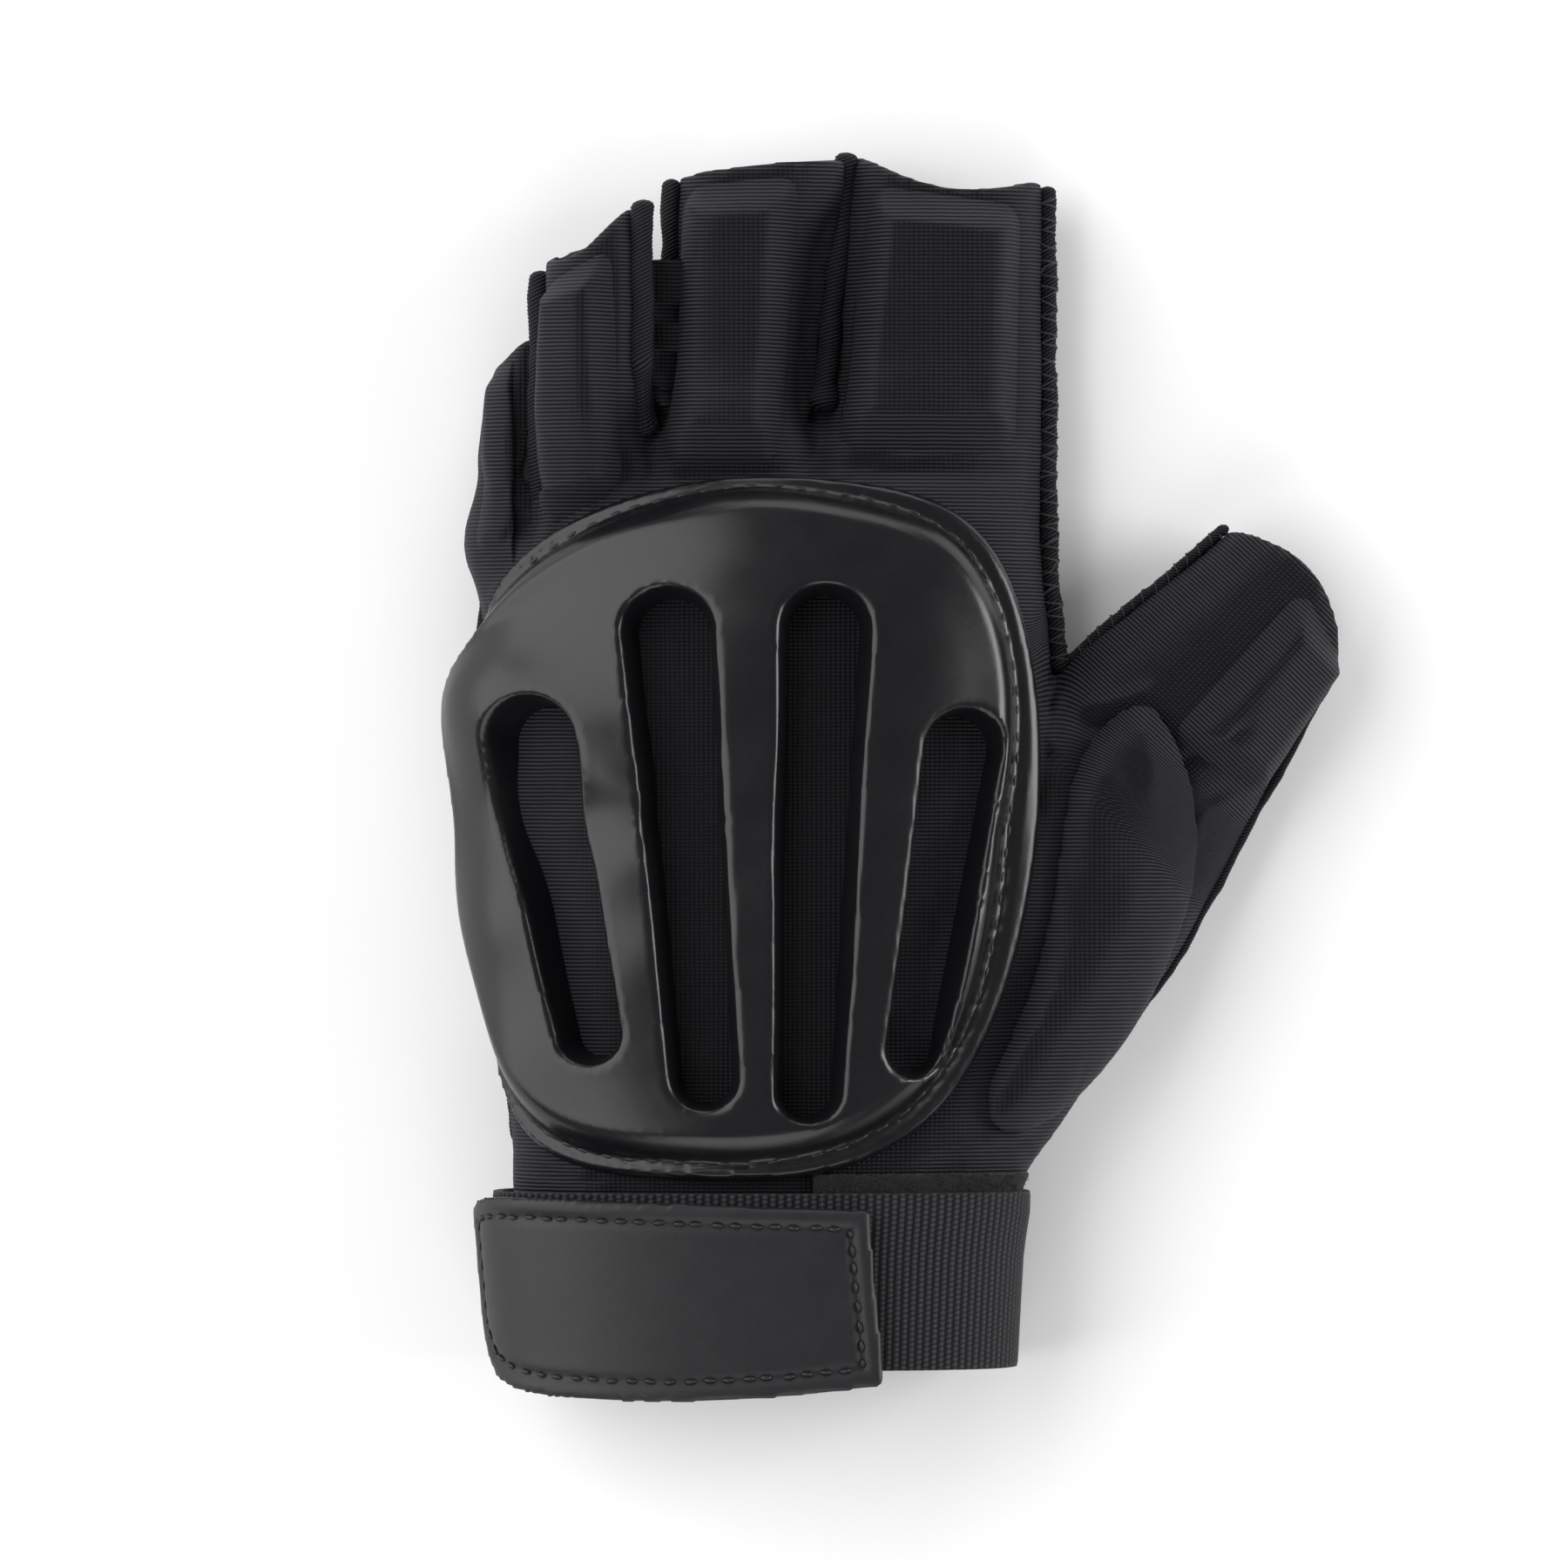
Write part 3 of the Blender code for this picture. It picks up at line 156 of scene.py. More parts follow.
# The flange outside the stitch groove, by direction from the shell's middle in degrees from +X
FLANGE_DIRECTIONS = (-180, -135, -90, -45, 0, 45, 90, 135, 180)
FLANGE_WIDTHS = (0.0034, 0.0026, 0.0028, 0.0042, 0.0056, 0.0040, 0.0022, 0.0024, 0.0034)
EDGE_ROUNDING = 0.0012
EDGE_ROUNDING_REACH = 0.0017
SHELL_VOXEL = 0.00064
SHELL_COLUMNS = 420
RING_PITCH = 0.00045  # between the shell's outer rings of points
OUTER_REACH = 0.030  # they go this far in, and the inner rings share what is left
INNER_RINGS = 40
LAST_RING = 0.97  # the innermost ring's share of the way to the middle
PATH_STEPS = 90  # points cast on the cloth from the shell's edge to its middle
OUTLINE_POINTS = 400  # of the smooth curve through its plan outline
SEEK_ROUNDS = 6
SEEK_STEP = 0.6
CALM_WAVES = 11.0  # shorter waves than this many round the shell are smoothed away
CALM_WAVES_UP = 5.0  # the same for its height
RAMP_START = -0.0002  # the shoulder and the vents' walls start this far out
VENT_BEVEL = 0.0021
VENT_SINK = 0.0018  # in the vents the shell's sheet runs on under the cloth
VENT_SHEET = 0.0008  # that sheet's thickness
# Plan outline of the shell, as shares of its box: x from its left, y from its lower edge, clockwise
SHELL_OUTLINE = (
    (1.000, 0.654), (0.994, 0.532), (0.978, 0.407), (0.945, 0.284), (0.890, 0.173), (0.809, 0.086),
    (0.703, 0.028), (0.560, 0.000), (0.369, 0.000), (0.201, 0.023), (0.100, 0.073), (0.066, 0.169),
    (0.049, 0.276), (0.022, 0.397), (0.000, 0.568), (0.002, 0.698), (0.036, 0.799), (0.112, 0.877),
    (0.221, 0.942), (0.356, 0.982), (0.502, 1.000), (0.662, 0.995), (0.804, 0.968), (0.912, 0.902),
    (0.968, 0.799), (0.993, 0.719),
)
SHELL_CENTRE = (0.507, 0.491)
VENT_FAN_CENTRE = (-0.0209, -0.1887)  # in plan
VENT_COLUMNS = ("angle", "near", "far", "near_half_width", "far_half_width")
# angle in degrees from +Y, near and far from the fan's centre
VENT_ROWS = (
    (10.4, 0.1498, 0.1982, 0.0030, 0.0046),
    (4.1, 0.1407, 0.2118, 0.0034, 0.0051),
    (-2.3, 0.1384, 0.2118, 0.0034, 0.0051),
    (-8.6, 0.1468, 0.1952, 0.0030, 0.0046),
)

# Stitches
# pitch and length of the stitches along each line
SHELL_STITCHES = (0.0038, 0.0029)
TAB_STITCHES = (0.0031, 0.0021)
CUSHION_STITCHES = (0.0020, 0.0015)
STITCH_RADIUS = 0.00036
STITCH_SIDES = 7
STITCH_STATIONS = 7

# Seam rolls and the thread whipped round them
ROLL_RADIUS = 0.0016
ROLL_STEP = 0.00016
ROLL_SIDES = 16
RING_GAP = 0.0008  # the solids' rings of points are further apart than this
ROLL_CALM = 0.003  # bends of the solids' lines shorter than this are smoothed away
END_STEPS = 24  # as many points of its line give the direction of a roll's end
ROLL_END = 0.0013  # a roll's end is rounded over this length
KNOB_PLACE = 0.0017
KNOB_REACH = 0.0016
ROLL_RIB = 0.00008
ROLL_TWIST = 8  # the ribs climb by this many of their pitches round a roll
# solid, width, knob, sideways shift at its lower and upper end, added length below and above, lift,
# number of threads whipped round it
ROLL_ROWS = (
    ("seam_ring_left", 1.15, 0.10, (-0.0002, 0.0002), 0.0080, 0.0, -0.0012, 0),
    ("seam_ring_right", 1.10, 0.35, (-0.0016, -0.0004), 0.0080, 0.0005, 0.0004, 0),
    ("seam_middle_left", 0.95, 0.30, (0.0014, 0.0009), 0.0070, 0.0005, 0.0002, 0),
    ("seam_index_left", 1.20, 0.40, (0.0004, 0.0004), 0.0050, 0.0012, 0.0010, 0),
    ("seam_index_right", 0.90, 0.10, (-0.0008, -0.0010), 0.0100, 0.0002, 0.0002, 2),
    ("seam_thumb_inner", 0.55, 0.05, (0.0014, 0.0014), 0.0010, 0.0, 0.0, 1),
    ("seam_thumb_outer", 0.50, 0.05, (-0.0018, -0.0016), 0.0, 0.0, 0.0, 0),
    ("seam_little_side", 0.55, 0.05, (0.0022, 0.0018), 0.0, 0.0, 0.0, 0),
)
THREAD_RADIUS = 0.00017
THREAD_PITCHES = (0.0023, -0.0037)  # a second thread is wound the other way
THREAD_SIDES = 6
THREAD_STEPS = 14  # points of a thread for each turn round its roll
THREAD_UP = (0.31, 0.47, 0.83)  # a direction that no thread runs in
THREAD_INSET = 0.002  # from a roll's end to its thread's
# Random wander along a roll and its threads: its wavelength and its size
ROLL_SIDEWAYS = (0.019, 0.00022)
ROLL_UPWARD = (0.023, 0.0002)
ROLL_WIDTH_WANDER = (0.011, 0.07)
WHIPPED_WIDTH_WANDER = (0.0034, 0.07)
THREAD_SLIP = (0.0092, 1.3)
THREAD_LIFT = (0.0027, 0.8)

# Wrist
BAND_PATTERN = 0.00127  # the width of a woven column
BAND_PICK = 0.00082  # the length of a bead along it
BAND_RELIEF = 0.00036
BAND_THICKNESS = 0.0014
BAND_COLUMN_CELLS = 4
BAND_PICK_CELLS = 3
BAND_RAYS = 360
BAND_LEVELS = 9
BAND_INSET = 0.0002  # of its edges and of its face between the beads
BAND_ROUNDING = 0.0001
SELVEDGE = 0.0009
BAND_MARGIN = 0.004  # this close to its edges the band's surface doesn't tell the outward direction
TAB_VOXEL = 0.0006
TAB_RAY = 0.004
TAB_OUTLINE_POINTS = 420
TAB_BORDER_FADE = 0.0012
TAB_STITCH_INSET = 0.0031
TAB_STITCH_SINK = 0.0002
TAB_GROOVE_DEPTH = 0.00065
TAB_GROOVE_WIDTH = 0.0007
TAB_BORDER_RISE = 0.00025
PATCH_VOXEL = 0.0005
PATCH_LOOPS = 2000
PATCH_LOOP_HEIGHT = 0.0007
PATCH_LOOP_SPAN = 0.0007
PATCH_LOOP_SINK = 0.0001
PATCH_THREAD = 0.00006  # half of a loop thread's width
PATCH_THREAD_HEIGHT = 0.00007

# Thumb cushion
CUSHION_STITCH_LINE = ((0.0282, 0.0066), (0.0322, 0.0098), (0.0370, 0.0119), (0.0416, 0.0122))  # in plan
CUSHION_LINE_POINTS = 40
CUSHION_VOXEL = 0.0009
CUSHION_SCALE = 10.0  # it is simulated at ten times its size, where the cloth solver is steady
CUSHION_PRESSURE = 4.0
CUSHION_CAP = 0.0030  # the furthest a point may swell
CUSHION_FRAMES = 20
CUSHION_HELD = 0.0013  # points this near the cloth are held still

random = np.random.default_rng(7)


def vectors_of(made, kind):
    flat = np.empty(len(made.data.vertices) * 3, np.float32)
    made.data.vertices.foreach_get(kind, flat)
    return flat.reshape(-1, 3).astype(float)


def points_of(made):
    return vectors_of(made, "co")


def normals_of(made):
    return vectors_of(made, "normal")


def set_points(made, points):
    made.data.vertices.foreach_set("co", np.asarray(points, np.float32).ravel())
    made.data.update()


def smoothstep(low, high, value):
    share = np.clip((value - low) / (high - low), 0.0, 1.0)
    return share * share * (3.0 - 2.0 * share)


def unit(vectors):
    return vectors / np.linalg.norm(vectors, axis=-1, keepdims=True)


def length_along(line):
    """How far along a line each of its points is."""
    return np.concatenate(((0.0,), np.cumsum(np.linalg.norm(np.diff(line, axis=0), axis=1))))


def sample(where, at, values):
    """Rows of values known at some places, interpolated at others."""
    return np.stack([np.interp(where, at, column) for column in values.T], axis=-1)


def even_steps(points, count, closed=True):
    """A line's points, spaced evenly."""
    if closed:
        points = np.vstack([points, points[:1]])
    at = length_along(points)
    return sample(np.linspace(0.0, at[-1], count, endpoint=not closed), at, points)


def add_object(name, mesh):
    made = bpy.data.objects.new(name, mesh)
    bpy.context.scene.collection.objects.link(made)
    return made


def new_piece(name, vertices, faces, material=None):
    """A smooth-shaded mesh object in the scene."""
    mesh = bpy.data.meshes.new(name)
    mesh.from_pydata(np.asarray(vertices, float).tolist(), [], faces)
    mesh.update()
    mesh.shade_smooth()
    if material is not None:
        mesh.materials.append(material)
    return add_object(name, mesh)


def bake(made):
    """Applies the object's modifiers to its mesh."""
    graph = bpy.context.evaluated_depsgraph_get()
    mesh = bpy.data.meshes.new_from_object(made.evaluated_get(graph))
    made.modifiers.clear()
    made.data = mesh


def settle(made, nodes):
    """Rides on the glove's one body and stands for its CAD nodes, which it hides."""
    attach(made, "root")
    if nodes:
        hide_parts(*nodes)
    return made


def grid_ids(rows, columns, wrap):
    """Numbers of a grid of points. With wrap its first column comes again after its last."""
    ids = np.arange(rows * columns).reshape(rows, columns)
    return np.hstack([ids, ids[:, :1]]) if wrap else ids


def quads(ids):
    """Faces between the neighbours in a grid of point numbers."""
    return np.stack([ids[:-1, :-1], ids[:-1, 1:], ids[1:, 1:], ids[1:, :-1]], axis=-1).reshape(-1, 4)


def slab_faces(rows, columns, wrap):
    """Faces of a closed slab: a top grid, a matching bottom grid after it, and its rims."""
    count = rows * columns
    ids = grid_ids(rows, columns, wrap)
    top = quads(ids)
    rims = [(ids[0, 1:], ids[0, :-1]), (ids[-1, :-1], ids[-1, 1:])]
    if not wrap:
        rims += [(ids[:-1, 0], ids[1:, 0]), (ids[1:, -1], ids[:-1, -1])]
    sides = [np.stack([p, q, q + count, p + count], axis=-1) for p, q in rims]
    return np.concatenate([top, top[:, ::-1] + count, *sides]).tolist()


def tube_faces(rows, sides):
    """Faces of a round tube with closed ends."""
    ids = grid_ids(rows, sides, True)
    return quads(ids).tolist() + [ids[0, -2::-1].tolist(), ids[-1, :-1].tolist()]


def tube_points(line, side, rise, turn, radius):
    """Points round a line. radius is given for each point of it and each turn."""
    spokes = side[:, None] * np.cos(turn)[None, :, None] + rise[:, None] * np.sin(turn)[None, :, None]
    return (line[:, None] + spokes * radius[..., None]).reshape(-1, 3)


def turns(sides):
    return 2 * math.pi * np.arange(sides) / sides


def node_copy(node, name):
    """A welded copy of a CAD node's mesh, with its triangles joined to quads."""
    made = add_object(name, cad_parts[node].data.copy())
    shape = bmesh.new()
    shape.from_mesh(made.data)
    bmesh.ops.remove_doubles(shape, verts=shape.verts, dist=1e-5)
    bmesh.ops.join_triangles(
        shape,
        faces=shape.faces,
        angle_face_threshold=math.radians(35),
        angle_shape_threshold=math.radians(50),
    )
    crease = shape.edges.layers.float.new("crease_edge")
    for edge in shape.edges:
        edge[crease] = 1.0 if edge.calc_face_angle(0.0) > SHARP_ANGLE else 0.0
    shape.to_mesh(made.data)
    shape.free()
    made.data.materials.clear()
    return made


def remesh(made, voxel):
    even = made.modifiers.new("even", "REMESH")
    even.mode = "VOXEL"
    even.voxel_size = voxel
    bake(made)


def relax(made, rounds):
    """Evens a mesh out without shrinking it."""
    mesh = made.data
    ends = np.empty(len(mesh.edges) * 2, np.int32)
    mesh.edges.foreach_get("vertices", ends)
    first, second = ends.reshape(-1, 2).T
    points = points_of(made)
    count = len(points)
    degree = np.bincount(ends, minlength=count)[:, None]
    for weight in (0.5, -0.52) * rounds:
        near = np.empty_like(points)
        for k in range(3):
            near[:, k] = np.bincount(first, points[second, k], count)
            near[:, k] += np.bincount(second, points[first, k], count)
        points = points + weight * (near / degree - points)
    set_points(made, points)


def subdivide(made, levels):
    finer = made.modifiers.new("finer", "SUBSURF")
    finer.levels = finer.render_levels = levels
    bake(made)


def smooth_copy(node, name, voxel, swell, rounds, material=None):
    """A CAD node's shape on a smooth surface of small even faces."""
    made = node_copy(node, name)
    subdivide(made, 2)
    set_points(made, points_of(made) + normals_of(made) * swell)
    remesh(made, voxel)
    relax(made, rounds)
    made.data.shade_smooth()
    if material is not None:
        made.data.materials.append(material)
    return made


class Surface:
    """An object's surface, to seat pieces on it."""

    def __init__(self, made):
        points = [vertex.co for vertex in made.data.vertices]
        self.tree = BVHTree.FromPolygons(points, [face.vertices for face in made.data.polygons])

    def cast(self, origin, direction):
        """Where a ray meets the surface, and the outward normal there."""
        found = self.tree.ray_cast(Vector(origin), Vector(direction))
        if found[0] is None:
            downward = direction[2] < -0.99
            level = (origin[0], origin[1], MIDDLE_HEIGHT) if downward else origin
            found = self.tree.find_nearest(Vector(level))
        normal = found[1]
        if normal.dot(Vector(direction)) > 0:
            normal = -normal
        return np.array(found[0]), np.array(normal)

    def drop(self, x, y):
        """The surface's top at a place in plan, and the normal there."""
        return self.cast((x, y, 0.1), (0.0, 0.0, -1.0))

    def normal(self, x, y, reach=0.0016):
        """The mean outward normal around a place in plan."""
        steps = ((0, 0), (1, 0), (-1, 0), (0, 1), (0, -1))
        return unit(sum(self.drop(x + a * reach, y + b * reach)[1] for a, b in steps))


def set_inputs(node, values):
    for name, value in values.items():
        node.inputs[name].default_value = value


def node_graph(name):
    material = bpy.data.materials.new(name)
    material.use_nodes = True
    return material, material.node_tree, material.node_tree.nodes["Principled BSDF"]


def math_node(tree, operation, *values):
    node = tree.nodes.new("ShaderNodeMath")
    node.operation = operation
    for socket, value in zip(node.inputs, values):
        if isinstance(value, (int, float)):
            socket.default_value = value
        else:
            tree.links.new(value, socket)
    return node.outputs[0]


def wave(tree, coordinate, pitch):
    """0 to 1 along a coordinate, one crest for each pitch."""
    turned = math_node(tree, "MULTIPLY", coordinate, 2.0 * math.pi / pitch)
    return math_node(tree, "MULTIPLY_ADD", math_node(tree, "SINE", turned), 0.5, 0.5)


def noise(tree, scale, detail=3.0, roughness=0.6):
    coordinates = tree.nodes.new("ShaderNodeTexCoord")
    node = tree.nodes.new("ShaderNodeTexNoise")
    set_inputs(node, {"Scale": scale, "Detail": detail, "Roughness": roughness})
    tree.links.new(coordinates.outputs["Object"], node.inputs["Vector"])
    return node.outputs["Fac"]


def ramp(tree, value, low, high, low_colour, high_colour):
    """A colour that goes from one to the other as the value goes from low to high."""
    scaled = tree.nodes.new("ShaderNodeMapRange")
    set_inputs(scaled, {"From Min": low, "From Max": high})
    tree.links.new(value, scaled.inputs["Value"])
    mixed = tree.nodes.new("ShaderNodeMix")
    mixed.data_type = "RGBA"
    tree.links.new(scaled.outputs["Result"], mixed.inputs[0])
    colours = [socket for socket in mixed.inputs if socket.type == "RGBA"]
    for socket, colour in zip(colours, (low_colour, high_colour)):
        socket.default_value = (*colour, 1.0)
    return next(socket for socket in mixed.outputs if socket.type == "RGBA")


def bump(tree, shader, height, distance, strength):
    node = tree.nodes.new("ShaderNodeBump")
    set_inputs(node, {"Distance": distance, "Strength": strength})
    tree.links.new(height, node.inputs["Height"])
    tree.links.new(node.outputs["Normal"], shader.inputs["Normal"])


def attribute(tree, name):
    node = tree.nodes.new("ShaderNodeAttribute")
    node.attribute_name = name
    return node.outputs["Fac"]


def knit_material(name, dark, light):
    """Ribbed knit: fine ribs across the fingers, broken into small loops. Its colour is darker in the
    grooves between ribs and loops, partly the knit's own pattern and partly painted shade of that relief,
    and darker where the cloth faces straight up, painted shade as if lit only from the sides.
    """
    material, tree, shader = node_graph(name)
    wobble = math_node(tree, "MULTIPLY", noise(tree, 260.0, 2.0), 0.00016)
    rib = wave(tree, math_node(tree, "ADD", attribute(tree, "rib"), wobble), RIB_PITCH)
    bead = wave(tree, math_node(tree, "ADD", attribute(tree, "across"), wobble), RIB_BEAD)
    flat = attribute(tree, "flat")
    depth = math_node(tree, "MULTIPLY", flat, 0.85)
    gap = math_node(tree, "MULTIPLY", math_node(tree, "SUBTRACT", 1.0, bead), depth)
    loops = math_node(tree, "MULTIPLY", rib, math_node(tree, "SUBTRACT", 1.0, gap))
    patches = math_node(tree, "MULTIPLY_ADD", noise(tree, 90.0, 4.0), 0.5, 0.75)
    # Painted shade: cloth that faces straight up is made up to 45% darker, as if lit only from the sides.
    painted_flat_shade = math_node(tree, "MULTIPLY_ADD", flat, -0.45, 1.0)
    shade = math_node(tree, "MULTIPLY", math_node(tree, "MULTIPLY", loops, patches), painted_flat_shade)
    # The colour follows the rib and loop relief: its grooves and gaps are darker, partly the knit's own
    # pattern and partly painted shade, besides the bump.
    tree.links.new(ramp(tree, shade, 0.0, 1.0, dark, light), shader.inputs["Base Color"])
    bump(tree, shader, loops, 0.00024, 0.95)
    set_inputs(shader, {"Roughness": 0.62, "Specular IOR Level": 0.13, "Sheen Weight": 0.03})
    set_inputs(shader, {"Sheen Roughness": 0.40, "Sheen Tint": (0.80, 0.82, 0.95, 1.0)})
    return material


def plain_material(name, dark, light, scale, depth, roughness, sheen=0.0, specular=0.5):
    """A material with a fine random grain."""
    material, tree, shader = node_graph(name)
    grain = noise(tree, scale, 5.0, 0.65)
    broad = noise(tree, scale / 14.0, 3.0)
    blend = math_node(tree, "MULTIPLY", grain, math_node(tree, "ADD", broad, 0.5))
    tree.links.new(ramp(tree, blend, 0.25, 0.75, dark, light), shader.inputs["Base Color"])
    rough = math_node(tree, "MULTIPLY_ADD", broad, 0.12, roughness - 0.06)
    tree.links.new(rough, shader.inputs["Roughness"])
    bump(tree, shader, grain, depth, 0.8)
    set_inputs(shader, {"Sheen Weight": sheen, "Specular IOR Level": specular})
    return material


def webbing_material(name, dark, light):
    """Woven elastic, light on its beads and dark between them; the dark between the beads is painted shade
    of the weave's hollows.
    """
    material, tree, shader = node_graph(name)
    grain = noise(tree, 4200.0, 2.0)
    uneven = math_node(tree, "ADD", grain, 0.5)
    height = math_node(tree, "MULTIPLY", attribute(tree, "bead"), uneven)
    # Painted shade: the colour follows the bead relief, so the hollows between beads are darker.
    tree.links.new(ramp(tree, height, 0.05, 0.85, dark, light), shader.inputs["Base Color"])
    bump(tree, shader, grain, 0.00006, 0.8)
    set_inputs(shader, {"Roughness": 0.65, "Specular IOR Level": 0.16, "Sheen Weight": 0.03})
    return material


def store(made, name, values):
    """Keeps a value for each point, which the materials read by its name."""
    stored = made.data.attributes.new(name, "FLOAT", "POINT")
    stored.data.foreach_set("value", np.asarray(values, np.float32).ravel())


def add_weave(made, rib, across, flat):
    """Stores each point's two weave coordinates, in metres, and how far the loops show beside the ribs,
    which also sets the knit's painted shade on cloth that faces up.
    """
    store(made, "rib", rib)
    store(made, "across", across)
    store(made, "flat", flat)


def cloth_weave(made):
    """Ribs run across the fingers and turn with the thumb. On slopes only the ribs show, and cloth that
    faces up gets the knit's painted shade.
    """
    points, normals = points_of(made), normals_of(made)
    from_root = points[:, :2] - THUMB_ROOT
    along_thumb = from_root @ np.array(THUMB_AXIS)
    over_thumb = from_root @ np.array((THUMB_AXIS[1], -THUMB_AXIS[0]))
    share = smoothstep(*RIB_TURN_ALONG, along_thumb) * smoothstep(*RIB_TURN_X, from_root[:, 0])
    share = share * smoothstep(*RIB_TURN_ACROSS, over_thumb)
    rib = points[:, 1] * (1.0 - share) + (along_thumb + THUMB_ROOT[1]) * share
    across = points[:, 0] * (1.0 - share) + over_thumb * share
    slope = np.hypot(normals[:, 0], normals[:, 1])
    add_weave(made, rib, across, 1.0 - smoothstep(*SLOPE_SPAN, slope))


def make_stage():
    """The camera over the glove, the floor, the lights and the pale surroundings."""
    camera = add_object("camera", bpy.data.cameras.new("camera"))
    centre = PHOTO_PIXELS / 2
    across, up = (centre - PHOTO_ORIGIN[0]) * PIXEL, (PHOTO_ORIGIN[1] - centre) * PIXEL
    camera.location = (across, up, CAMERA_HEIGHT)
    camera.data.sensor_width = SENSOR_WIDTH
    camera.data.lens = SENSOR_WIDTH * (CAMERA_HEIGHT - MIDDLE_HEIGHT) / (PHOTO_PIXELS * PIXEL)
    camera.data.clip_start = 0.1
    camera.data.clip_end = 20.0
    bpy.context.scene.camera = camera

    material, _, shader = node_graph("floor")
    set_inputs(shader, {"Base Color": (FLOOR_SHADE, FLOOR_SHADE, FLOOR_SHADE, 1.0), "Roughness": 0.9})
    corners = [(x * FLOOR_REACH, y * FLOOR_REACH, 0) for x, y in ((-1, -1), (1, -1), (1, 1), (-1, 1))]
    floor = new_piece("floor", corners, [(0, 1, 2, 3)], material)

    for name, place, size, power in LIGHTS:
        lamp = bpy.data.lights.new(name, "AREA")
        lamp.shape = "SQUARE"
        lamp.size = size
        lamp.energy = power
        made = add_object(name, lamp)
        made.location = place
        made.rotation_euler = (-Vector(place)).to_track_quat("-Z", "Y").to_euler()
    world = bpy.data.worlds.new("studio")
    world.use_nodes = True
    sky = world.node_tree.nodes["Background"]
    set_inputs(sky, {"Color": (1.0, 1.0, 1.0, 1.0), "Strength": WORLD_STRENGTH})
    bpy.context.scene.world = world
    bpy.context.scene.view_settings.view_transform = "Standard"


def make_skins():
    """The back's knit skin and the palm's suede one. Gives the back's."""
    back = smooth_copy("back_panel", "back_skin", SKIN_VOXEL, SKIN_SWELL, 8, KNIT)
    palm = smooth_copy("palm_panel", "palm_skin", PALM_VOXEL, SKIN_SWELL, 8, SUEDE)
    points = points_of(palm)
    points[:, 2] = np.maximum(points[:, 2], 0.0)
    set_points(palm, points)
    fold(back)
    for made in (back, palm):
        bulge(made)
    cloth_weave(back)
    settle(back, ["back_panel"])
    settle(palm, ["palm_panel"])
    return back


def fold(made):
    """Raises and sinks the folds of the back's cloth."""
    points, normals = points_of(made), normals_of(made)
    rise = np.zeros(len(points))
    for row in FOLD_ROWS:
        line = dict(zip(FOLD_COLUMNS, row))
        start = np.array((line["x0"], line["y0"]))
        run = np.array((line["x1"], line["y1"])) - start
        length = np.linalg.norm(run)
        offset = points[:, :2] - start
        share = offset @ run / length**2
        bend = line["bow"] * 4.0 * share * (1.0 - share)
        aside = (offset @ np.array((run[1], -run[0]))) / length - bend
        taper = smoothstep(0.0, 0.25, share) * (1.0 - smoothstep(0.75, 1.0, share))
        rise += line["height"] * taper * np.exp(-((aside / line["width"]) ** 2))
    rise *= smoothstep(*FOLD_FACING, normals[:, 2])
    for size, depth in UNEVENNESS:
        rise += depth * np.array([space_noise.noise(Vector(p / size)) for p in points])
    set_points(made, points + normals * rise[:, None])


def bulge(made):
    """Shifts the cloth sideways where the glove's outline swells."""
    points = points_of(made)
    for x, y, reach, shift, low, high in BULGES:
        inside = (points[:, 0] > low) * (points[:, 0] < high)
        fall = np.exp(-(((points[:, 1] - y) / reach) ** 2)) * inside
        points[:, 0] += shift * fall * np.exp(-(((points[:, 0] - x) / reach) ** 2))
    set_points(made, points)


def main_axes(points, outward):
    """Long, cross and thickness directions of a flat pad."""
    centred = points - points.mean(axis=0)
    _, vectors = np.linalg.eigh(centred.T @ centred)
    thick, long = vectors[:, 0], vectors[:, 2]
    thick = thick if thick @ outward > 0 else -thick
    long = long if long[1] > 0 else -long
    return long, np.cross(long, thick), thick


def pad_height(edge, top):
    """Height of a pad at a distance in from its edge: it rises out of the cloth on a soft chamfer."""
    share = np.clip((edge + PAD_SKIRT) / (PAD_CHAMFER + PAD_SKIRT), 0.0, 1.0)
    straight = np.clip(1.25 * share - 0.12, 0.0, 1.0)
    return (0.65 * smoothstep(0.0, 1.0, share) + 0.35 * straight) * (top + PAD_SINK) - PAD_SINK


def pad_grid(node, width, length):
    """Shares across and along a pad for its grid of points, and their distance in from its edge."""
    little = node == "pad_little"
    inner_skirt = LITTLE_INNER_SKIRT if little else PAD_SKIRT
    a = np.linspace(-PAD_SKIRT / width, 1 + inner_skirt / width, int(width / PAD_GRID))
    b = np.linspace(-PAD_SKIRT / length, 1 + PAD_SKIRT / length, int(length / PAD_GRID))
    b, a = np.meshgrid(b, a, indexing="ij")
    to_x = (a if little else np.minimum(a, 1 - a)) * width
    to_y = np.minimum(b, 1 - b) * length
    near_corner = np.hypot(np.minimum(to_x - PAD_CORNER, 0.0), np.minimum(to_y - PAD_CORNER, 0.0))
    in_corner = (to_x < PAD_CORNER) & (to_y < PAD_CORNER)
    return a, b, np.where(in_corner, PAD_CORNER - near_corner, np.minimum(to_x, to_y))


